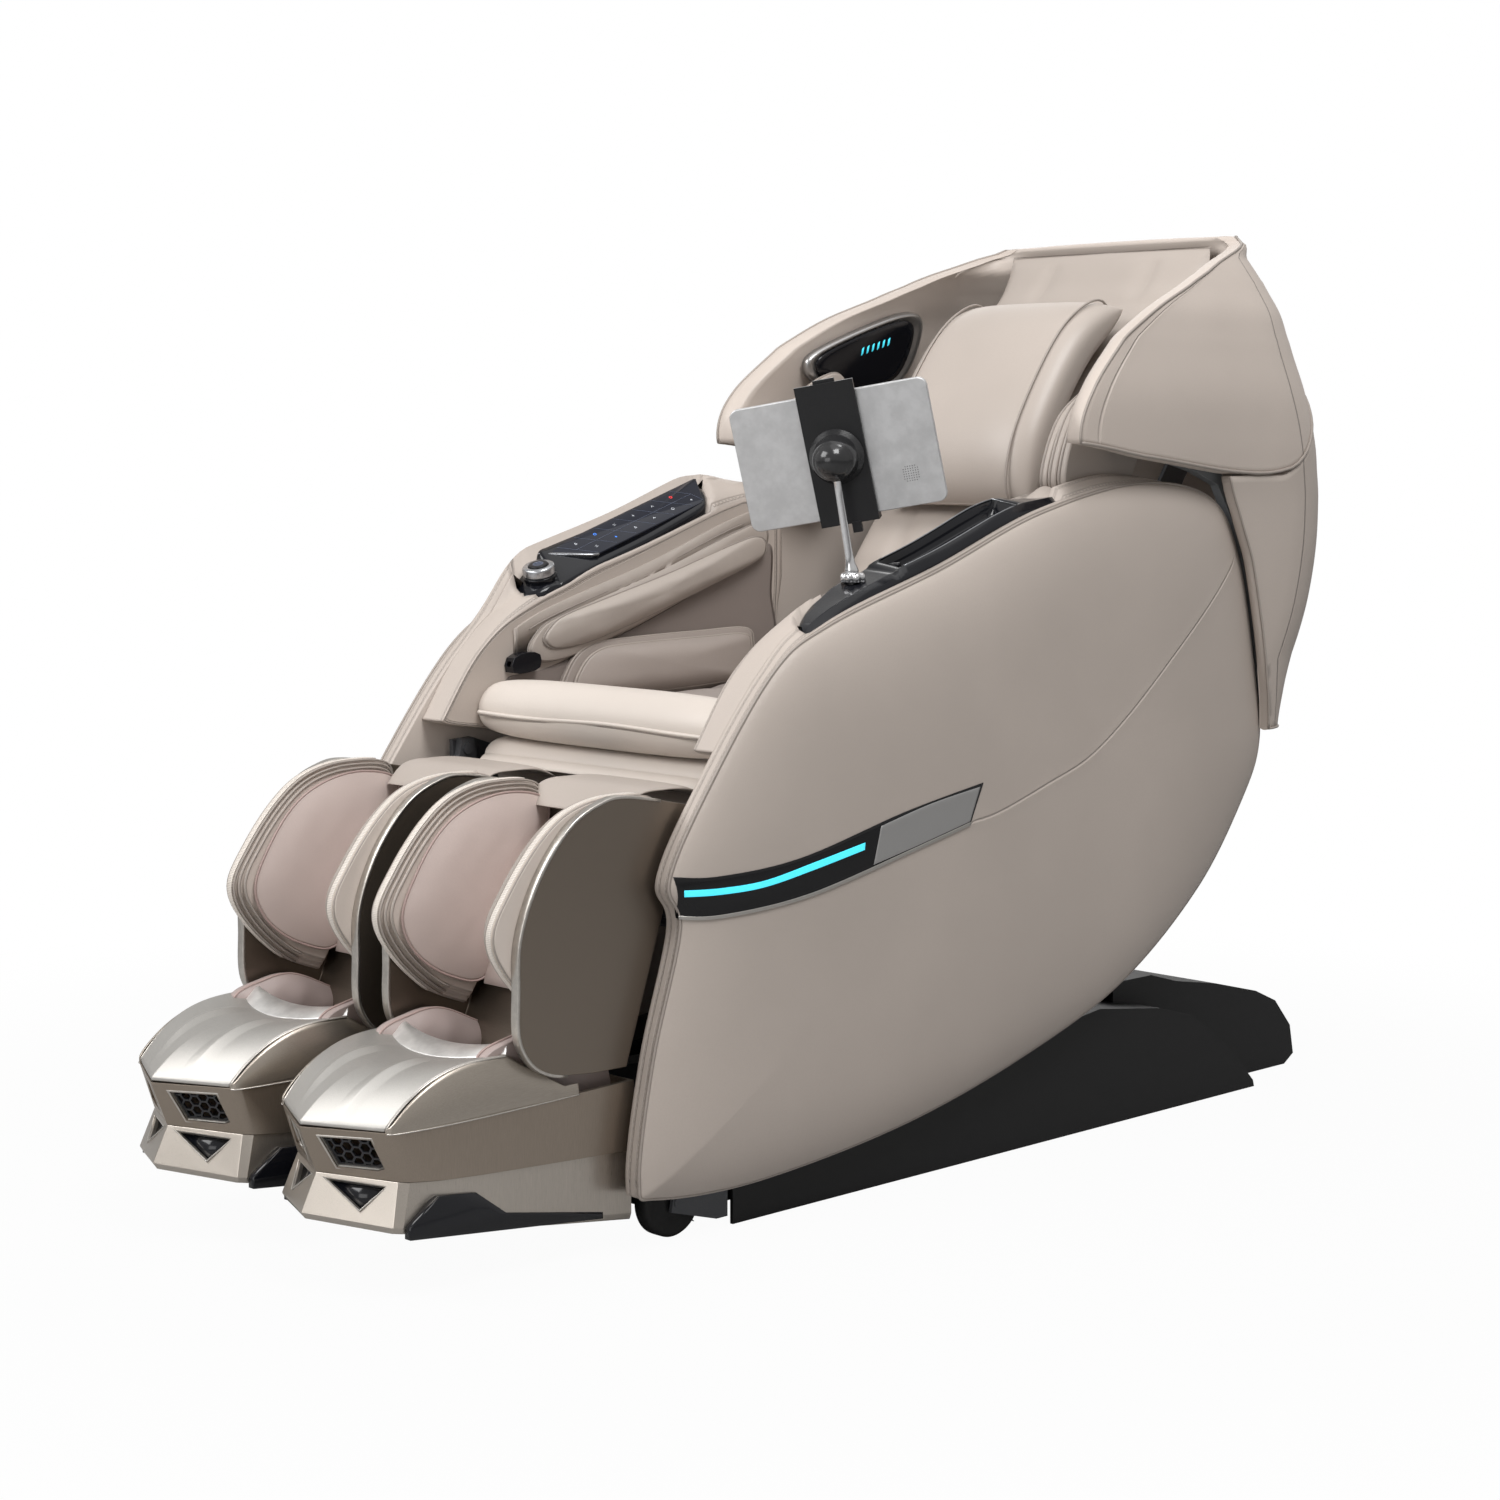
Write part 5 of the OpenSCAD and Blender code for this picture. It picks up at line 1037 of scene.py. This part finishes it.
def on_back(s, n):
    """A side-view point s up the back's lean and n towards the sitter, in mm."""
    return [400 + math.sin(back_lean) * s - math.cos(back_lean) * n,
            600 + math.cos(back_lean) * s + math.sin(back_lean) * n]


mat_leather = leather("mat_leather", shade(hide, 0.92), soft=1.3, rough=0.44)
pillow_leather = leather("pillow_leather", shade(hide, 0.95), soft=0.7, rough=0.4)
mat_path = [on_back(0, 104), on_back(130, 108), on_back(330, 103), on_back(520, 110), on_back(640, 84),
            [744, 1212], [754, 1250]]
mat = cushion("back_mat", mat_path, 196, 60, channels=6, sink=7, tufts=4, steps=110, around=96)
dressed(mat, "back", "hide", mat_leather, "back_pad", fill=0.6)
apron_path = [[300, 652], [297, 622], [316, 590], [350, 568]]
apron = cushion("back_mat_apron", apron_path, 188, 8, around=96, sag=1.2)
dressed(apron, "back", "hide", bag_leather, fill=0.3)
pillow_path = [on_back(222, 158), on_back(320, 192), on_back(470, 196), on_back(570, 162)]
pillow_thick = 86
pillow = cushion("head_pillow_skin", pillow_path, 148, pillow_thick, steps=80, around=96)
dressed(pillow, "back", "hide", pillow_leather, "head_pillow", fill=0.8)
line = spline(pillow_path, 10)
t = np.linspace(-1, 1, len(line))[:, None]
line = line + left_of(unit(np.gradient(line, axis=0))) * (
    pillow_thick / 2 * 0.86 * np.maximum(0.12, (1 - t ** 4) ** 0.5))
for name, x in (("left", 118), ("right", -118)):
    dressed(tube(f"pillow_bead_{name}", at_x(x, line), 1.8), "back", "hide", piping_leather)

# Shoulder bags: leaf-shaped air bags in layers between the hood's wings and the mat.
leaf = spline([[306, 912], [345, 1010], [425, 1064], [466, 1050], [470, 960], [420, 880],
               [350, 880]], 10, True)
for k, (grow, x0, x1, crown, nodes) in enumerate((
        (1.0, 290, 268, 7, ["shoulder_bags"]), (0.93, 272, 250, 8, []), (0.84, 254, 228, 14, []))):
    line = drawn(leaf, grow) + [-6 * k, -5 * k]
    both(bag(f"shoulder_bag_{k + 1}_left", line, x0, x1, crown, wrinkle=1.2, scale=0.012, turn=1.2),
         "back", "hide", bag_leather, *nodes, fill=0.6)
    bead = tube(f"shoulder_bead_{k + 1}_left", at_x(x0 * 0.3 + (x1 + crown) * 0.7, line), 1.5, closed=True)
    both(bead, "back", "hide", edge_leather)


# Speakers: a silver frame round a gloss black insert on each wing, with lit ticks.
def leaned(points):
    """Local points [out, y, up] leaned 13 degrees with the wing's inner face."""
    return turned(points, (300.5, 0, 1095), 0, -13)


pod_line = spline([[399, -24], [420, 9], [587, 68], [640, 52], [612, -35], [498, -60], [440, -50]], 10, True)


def speaker_rings(name, steps):
    return rings(name, leaned([at_x(x, drawn(pod_line, s)) for x, s in steps]))


frame_silver = brushed("speaker_frame", (0.46, 0.455, 0.45), 0.3)
frame_steps = [(0, 1), (-8, 1), (-12, 0.985), (-13.4, 0.95), (-13, 0.9), (-10.5, 0.87), (-10, 0.8)]
insert_steps = [(-6, 0.84), (-12.4, 0.84), (-13.6, 0.82), (-14.4, 0.7), (-15, 0.5), (-15.2, 0.2)]
both(speaker_rings("speaker_frame_left", frame_steps), "back", "satin_chrome", frame_silver)
both(speaker_rings("speaker_insert_left", insert_steps), "back", "gloss_black", gloss_black, "speakers")
ticks = [rings("tick", leaned([[[x, 508 + k * 11 + sy * w, 10 + k * 3.2 + sz * 5 + sy * 1.5]
                                for sy, sz in ((-1, -1), (1, -1), (1, 1), (-1, 1))]
                               for x, w in ((-13.5, 1.6), (-15.9, 1.6), (-16.1, 1.2))])) for k in range(6)]
both(joined("speaker_ticks_left", ticks), "back", "led", cyan_light)


# Legrest: champagne metal shells with a bright edge band round each wall, padded in piped
# beige layers with a perforated strip, and a mauve air cushion on each side of the calf.
leg_x = 154


def four_walls(name, make, body, slot, look, *nodes, fill=None):
    """The same piece on both sides of both legs: make(way, middle) builds one of them."""
    walls = [make(way, middle) for middle in (leg_x, -leg_x) for way in (1, -1)]
    dressed(joined(name, walls), body, slot, look, *nodes, fill=fill)


def wall_beads(name, x, line, radius, *dress, closed=False):
    """A bead along a side-view line, at the same distance from each leg's middle."""
    four_walls(name, lambda way, m: tube("bead", at_x(m + way * x, line), radius, 6, closed), *dress)


def wall_bags(name, line, x0, x1, crown, *dress, fill=0.8, **shape):
    """An air bag on each side of each calf or foot."""
    four_walls(name, lambda way, m: bag("bag", line, m + way * x0, m + way * x1, crown, **shape),
               *dress, fill=fill)


def band(name, line, x0, x1, under, over, corner=1.0, **attributes):
    """A strip along a side-view line: its section goes from under to over the line."""
    out = left_of(unit(np.gradient(line, axis=0)))
    way = 1 if x1 > x0 else -1
    shoulder, low = way * corner, over - corner * 0.3
    section = [(x0, under), (x0, over - corner), (x0 + shoulder * 0.3, low), (x0 + shoulder, over),
               ((x0 + x1) / 2, over), (x1 - shoulder, over), (x1 - shoulder * 0.3, low),
               (x1, over - corner), (x1, under)]
    return rings(name, np.stack([at_x(x, line + out * h) for x, h in section], 1), **attributes)


champagne_metal = brushed("champagne_metal", (0.335, 0.282, 0.232), 0.36, (60, 60, 1.5), 0.00002)
shell_metal = brushed("shell_metal", (0.235, 0.198, 0.163), 0.38, (1.5, 60, 60), 0.00002)
bright_metal = brushed("bright_metal", (0.56, 0.53, 0.49), 0.32, (3, 3, 3), 0.00001)
carried("calf_shells", "legrest", "champagne", shell_metal, 1.2)
calf_line = spline([[-487, 224], [-600, 230], [-648, 270], [-652, 340], [-648, 400], [-620, 464], [-575, 518],
                    [-528, 543], [-482, 548], [-385, 530]], 10)
four_walls("calf_shell_rims", lambda way, m: band(
    "rim", calf_line[8:86], m + way * 116.6, m + way * 129.6, -2.5, 1.2, 1.4),
    "legrest", "bright_silver", bright_metal)

liner_line = spline([[-545, 276], [-600, 300], [-655, 350], [-678, 400], [-651, 452], [-606, 505], [-560, 536],
                     [-498, 548], [-428, 538], [-436, 480], [-482, 400], [-530, 300]], 8)
liner_leather = leather("liner_leather", (0.68, 0.60, 0.54), soft=1.0)
for k, (x0, x1, crown, grow, nodes) in enumerate((
        (116.7, 99.0, 4, 1.0, ["calf_liners"]), (99.4, 93.4, 2.4, 0.955, []), (93.6, 87.4, 2.4, 0.915, []))):
    wall_bags(f"calf_liner_{k + 1}", drawn(liner_line, grow), x0, x1, crown, "legrest", "hide", liner_leather,
              *nodes, steps=12)
for k, (x, grow) in enumerate(((114.6, 0.99), (100.2, 0.992), (94.2, 0.956), (88.2, 0.914))):
    wall_beads(f"calf_liner_bead_{k + 1}", x, drawn(liner_line, grow)[6:76], 1.5,
               "legrest", "hide", piping_leather)


def perforated(name, colour):
    """Pale leather punched with a close field of small holes, each painted dark as the shade inside it."""
    f = Finish(name)
    holes = (f.attribute("along") * 1500).wave() * (f.attribute("across") * 1500).wave()
    hole = abs(holes).step(0.45, 0.75)
    grain = f.noise(f.place(), 500, 2)
    base = f.blend(hole * 0.75, colour, shade(colour, 0.3))
    return f.set(Base_Color=base, Roughness=grain * 0.1 + 0.42, Normal=f.bump(1 - hole, 0.0006, 0.8))


punched_line = drawn(liner_line, 1.003)[8:62]
four_walls("calf_liner_punched_strips", lambda way, m: band(
    "strip", punched_line, m + way * 112.4, m + way * 103.4, -3, 1.3, 0.8,
    along=walked(punched_line)[:, None] / 1000,
    across=np.array([[0, 0, 0.0005, 0.001, 0.0045, 0.008, 0.0085, 0.009, 0.009]])),
    "legrest", "cream_hide", perforated("punched_leather", (0.80, 0.73, 0.66)))
mauve_leather = leather("mauve_leather", (0.60, 0.50, 0.462), soft=1.2, rough=0.42)
mauve_edge = leather("mauve_edge", (0.42, 0.31, 0.285), rough=0.4, soft=0)
pad_line = spline([[-528, 312], [-585, 318], [-636, 352], [-656, 398], [-632, 452], [-594, 499], [-548, 525],
                   [-492, 535], [-436, 524], [-430, 488], [-482, 392]], 7, True)
wall_bags("calf_air_pads", pad_line, 88.4, 68.4, 15, "legrest", "mauve_hide", mauve_leather, "calf_pads",
          power=2.6, wrinkle=0.5, scale=0.02)
wall_beads("calf_pad_beads", 83.6, pad_line, 1.6, "legrest", "mauve_hide", mauve_edge, closed=True)


def two_legs(name, make, middle, body, slot, look, *nodes, fill=None):
    """The same piece made in the chair's middle and shifted to the middle of each leg."""
    legs = [make(), make()]
    for leg, x in zip(legs, (middle, -middle)):
        leg.data.transform(Matrix.Translation((x / 1000, 0, 0)))
    dressed(joined(name, legs), body, slot, look, *nodes, fill=fill)


rest_path = [[-533, 302], [-481, 407], [-441, 466]]
flap_path = [[-312, 530], [-342, 541], [-380, 543], [-420, 540], [-450, 516]]
two_legs("calf_rest_pads", lambda: cushion("rest", rest_path, 86, 26, steps=40, around=64), leg_x,
         "legrest", "mauve_hide", mauve_leather, fill=0.7)
two_legs("legrest_aprons", lambda: cushion("apron", flap_path, 92, 9, around=64, sag=1.6), leg_x * 0.92,
         "legrest", "taupe_hide", bag_leather, fill=0.3)

# Foot massagers: champagne tubs with a creased silver bonnet, a bright collar round the
# opening, black grilles in bevelled frames on the V-shaped front and a lip below them.
carried("foot_tubs", "footrest", "champagne", champagne_metal, 1.0, angle=24)
lip_metal = brushed("lip_metal", (0.50, 0.455, 0.405), 0.3, (60, 60, 1.5), 0.00002)
carried("foot_lips", "footrest", "champagne", lip_metal, 1.0, angle=18)


def bonnet_point(u, v):
    """From the V-shaped front edge (v 0) to the collar (v 1): rises as 1 - (1 - v)^3 with
    a crease each side of the middle at u = 0.42."""
    front = [98 * u, -867 + 47 * np.abs(u), 199]
    rear = [112 * u, -692 + 34 * u**2, 249 + 12 * u**2]
    ridge = 5 * np.sin(np.pi * v) * np.maximum(0, 1 - np.abs(np.abs(u) - 0.42) / 0.14)
    return np.stack([front[0] + (rear[0] - front[0]) * v, front[1] + (rear[1] - front[1]) * v,
                     front[2] + (rear[2] - front[2]) * (1 - (1 - v) ** 3) + ridge
                     + 6 * (1 - u**4) * np.sin(np.pi * v) + 1.6], -1)


u, v = np.meshgrid(np.linspace(-1, 1, 101), np.linspace(0, 1, 41))
bonnet_metal = brushed("bonnet_metal", (0.50, 0.485, 0.46), 0.52, (2, 60, 60), 0.00001)
two_legs("foot_bonnet_shells", lambda: walled(
    "bonnet", lambda drop: bonnet_point(u * (1 - drop * 0.004), v) - [0, 0, drop], 4, 0.5), leg_x,
    "footrest", "bonnet_silver", bonnet_metal, "foot_bonnets")
collar_u, collar_v = np.meshgrid(np.linspace(-1, 1, 81), np.linspace(0, 1, 15))


def collar_point(drop):
    """The collar rises from the bonnet's rear edge as a quarter sine and draws in a little."""
    x, y, z = np.moveaxis(bonnet_point(collar_u, 1.0), -1, 0)
    return np.stack([x * (1 - 0.1 * collar_v), y + 0.3 + 34 * collar_v * (1 - 0.7 * collar_u**2),
                     z + 11 * np.sin(np.pi / 2 * collar_v) - drop], -1)


collar_metal = brushed("collar_metal", (0.86, 0.85, 0.83), 0.42, (1, 1, 1), 0.000001)
two_legs("foot_collar_rings", lambda: walled("collar", collar_point, 4, 0.8), leg_x,
         "footrest", "bright_silver", collar_metal, "foot_collars")
side_line = spline([[100, -821], [109, -811], [119, -760], [124, -705], [125.5, -658], [127, -606],
                    [127, -560]], 14)
side_x, side_y = side_line.T
climb = np.where(side_y < -658, 1 - (1 - np.clip((side_y + 821) / 163, 0, 1)) ** 3,
                 np.clip(1 - (side_y + 658) / 90, 0.14, 1))


def shoulder_point(thick):
    """The tub's shoulder, from its side crease up to the bonnet's seam: it rises 58 mm as
    1 - (1 - t)^3 along the bonnet and falls back in a straight line behind it."""
    r = np.linspace(0, 1, 13)[:, None]
    bow = np.sin(r * np.pi) * 3.5 * climb
    x = side_x * (1 - 0.12 * climb * r) + 0.5 + bow - thick
    z = 193 + 12 * (side_y + 868) / 394 + r * (climb * 58 + 5) + bow * 0.5
    return np.stack(np.broadcast_arrays(x, side_y, z), -1)


shoulder_metal = brushed("shoulder_metal", (0.42, 0.375, 0.325), 0.34, (60, 1.5, 60), 0.00002)
four_walls("foot_tub_shoulders", lambda way, m: walled(
    "shoulder", lambda thick: shoulder_point(thick) * [way, 1, 1] + [m, 0, 0], 3, 0.4),
    "footrest", "champagne", shoulder_metal)
bonnet_edge = bonnet_point(np.ones(60), np.linspace(0, 1, 60))
for name, line, shift, radius in (("bonnet_edge_beads", bonnet_edge, [0.8, 0, -1.5], 1.5),
                                  ("tub_crease_beads", shoulder_point(0)[0], [0.2, 0, 0], 0.9)):
    four_walls(name, lambda way, m: tube("bead", (line + shift) * [way, 1, 1] + [m, 0, 0], radius, 6),
               "footrest", "bright_silver", bright_metal)
sill_line = np.array([[-806, 88], [-765, 117], [-712, 112], [-668, 80], [-520, 52], [-520, 44], [-806, 74.0]])
four_walls("foot_side_sills", lambda way, m: rings("sill", np.array([
    at_x(m + way * x, drawn(sill_line, s)) for x, s in ((112, 1), (122.4, 1), (122.9, 0.985))])),
    "footrest", "base_black", gloss_black)
t = np.arange(40) / 40 * 2 * np.pi
badge = plate_on("bonnet_inlay_left", np.column_stack([7 * np.cos(t), 8.5 * np.sin(t)]),
                 [(0, -3), (0, 0.6), (0.8, 1.1)], ((leg_x, -832, 224.6), 33, 0))
both(badge, "footrest", "gloss_black", gloss_black)

face_turn, face_lean, chin_lean = (math.degrees(math.atan(slope)) for slope in (48 / 100, 20 / 57, 22 / 44))


def on_front(points, at, tip, way, middle):
    """Shapes drawn on one half of the V-shaped front: x outwards from the nose, y up it."""
    return spun(spun(points, 1, 2, tip), 0, 1, face_turn) * [way, 1, 1] + [middle, *at]


def bevel_frame(name, line, face, out, rise):
    """A mitred frame round an opening: its section slopes from the rim down into it."""
    section = ((0.3, -6), (-out, -1.0), (-out, rise * 0.6), (-out + 0.8, rise), (-0.6, rise * 0.7),
               (0.6, -2), (0.6, -6))
    grid = [np.insert(line + inward(line, True) * inset, 2, h, 1) for inset, h in section]
    four_walls(name, lambda way, m: hoop("frame", on_front(grid, *face, way, m), smooth=False),
               "footrest", "bright_silver", bright_metal)


grille_line = np.array([[15, 46], [80, 48], [92, 12], [82, 8], [30, 8.0]])
vent_line = np.array([[16, -7], [90, -10], [64, -38.0]])
grille_face = (-847, 140), 90 + face_lean
vent_face = (-846, 138), 90 - chin_lean
bevel_frame("grille_frames", grille_line, grille_face, 3.2, 1.4)
bevel_frame("vent_frames", vent_line, vent_face, 2.2, 1.2)
four_walls("vent_backs", lambda way, m: rings("vent", on_front(
    [np.insert(drawn(vent_line, 0.99), 2, h, 1) for h in (-8, -6.5)], *vent_face, way, m)),
    "footrest", "gloss_black", gloss_black)
foot_line = spline([[-500, 168], [-500, 232], [-545, 258], [-596, 279], [-640, 276], [-686, 258], [-682, 200],
                    [-600, 164]], 10, True)
foot_mauve = leather("foot_mauve", (0.40, 0.325, 0.305), soft=1.2, rough=0.42)
wall_bags("foot_air_pads", foot_line, 106, 68, 24, "footrest", "mauve_hide", foot_mauve, "foot_pads", fill=0.7,
          power=2.4, wrinkle=1.0, scale=0.02)
wall_beads("foot_pad_beads", 92.5, foot_line, 1.7, "footrest", "mauve_hide", mauve_edge, closed=True)


# Base: a matt black cover over a steel frame, with rubber feet, a mains box at the rear
# and two rubber-tyred wheels at the front. The port's housing on the seat is glossy.
matt_black = gloss("matt_black", (0.007, 0.007, 0.0075), 0.5, spots=0.3)
rubber = gloss("rubber", (0.012, 0.012, 0.012), 0.66, spots=0.4)
carried("base_cover", "base", "base_black", matt_black, 1.6, segments=3)
carried("power_box", "base", "black_plastic", satin_black, 0.8)
carried("power_switch", "rocker", "black_plastic", gloss_black, 0.5)
carried("port_housing", "seat", "gloss_black", gloss_black, 0.9)
half_tyre = [[6.2, -13], [20, -13], [22, -11], [36, -11], [39, -12.6], [43, -11.6], [44.8, -9], [45, -4]]
tyre = np.array(half_tyre + [[radius, -across] for radius, across in half_tyre[::-1]])
a = np.arange(96) / 96 * 2 * np.pi
radius = np.repeat(tyre[:, :1], 96, 1)
radius[7:9] -= 0.7 * (np.cos(32 * a) > 0.3)
for side, name, _ in sides:
    x = np.broadcast_to(side * 268 + tyre[:, 1:], radius.shape)
    wheel = hoop(f"tyre_{name}", np.stack([x, -409 + radius * np.cos(a), 45 + radius * np.sin(a)], -1))
    dressed(wheel, f"wheel_{name[0]}", "wheel_rubber", rubber, f"wheel_{name}")

# Inside: painted steel frames, cast kneading arms and pale rollers keep their own solids.
painted_steel = gloss("painted_steel", (0.085, 0.088, 0.095), 0.42, 0.4, spots=0.4)
cast_metal = gloss("cast_metal", (0.42, 0.42, 0.43), 0.4, 0.85, spots=0.5)
roller_resin = gloss("roller_resin", (0.60, 0.56, 0.50), 0.38, spots=0.3)
grille_black = gloss("grille_black", (0.018, 0.019, 0.022), 0.3, coat=0.3)
for look, nodes in (
        (painted_steel, ("base_frame", "carriage_frame", "seat_frame", "back_frame", "massage_carriage",
                         "legrest_frame", "foot_frame")),
        (cast_metal, ("knead_arms",)),
        (roller_resin, ("rollers_upper", "rollers_lower", "sole_roller_front", "sole_roller_rear")),
        (rubber, ("base_feet",)), (grille_black, ("foot_grilles",))):
    for node in nodes:
        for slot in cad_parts[node].material_slots:
            slot.material = look
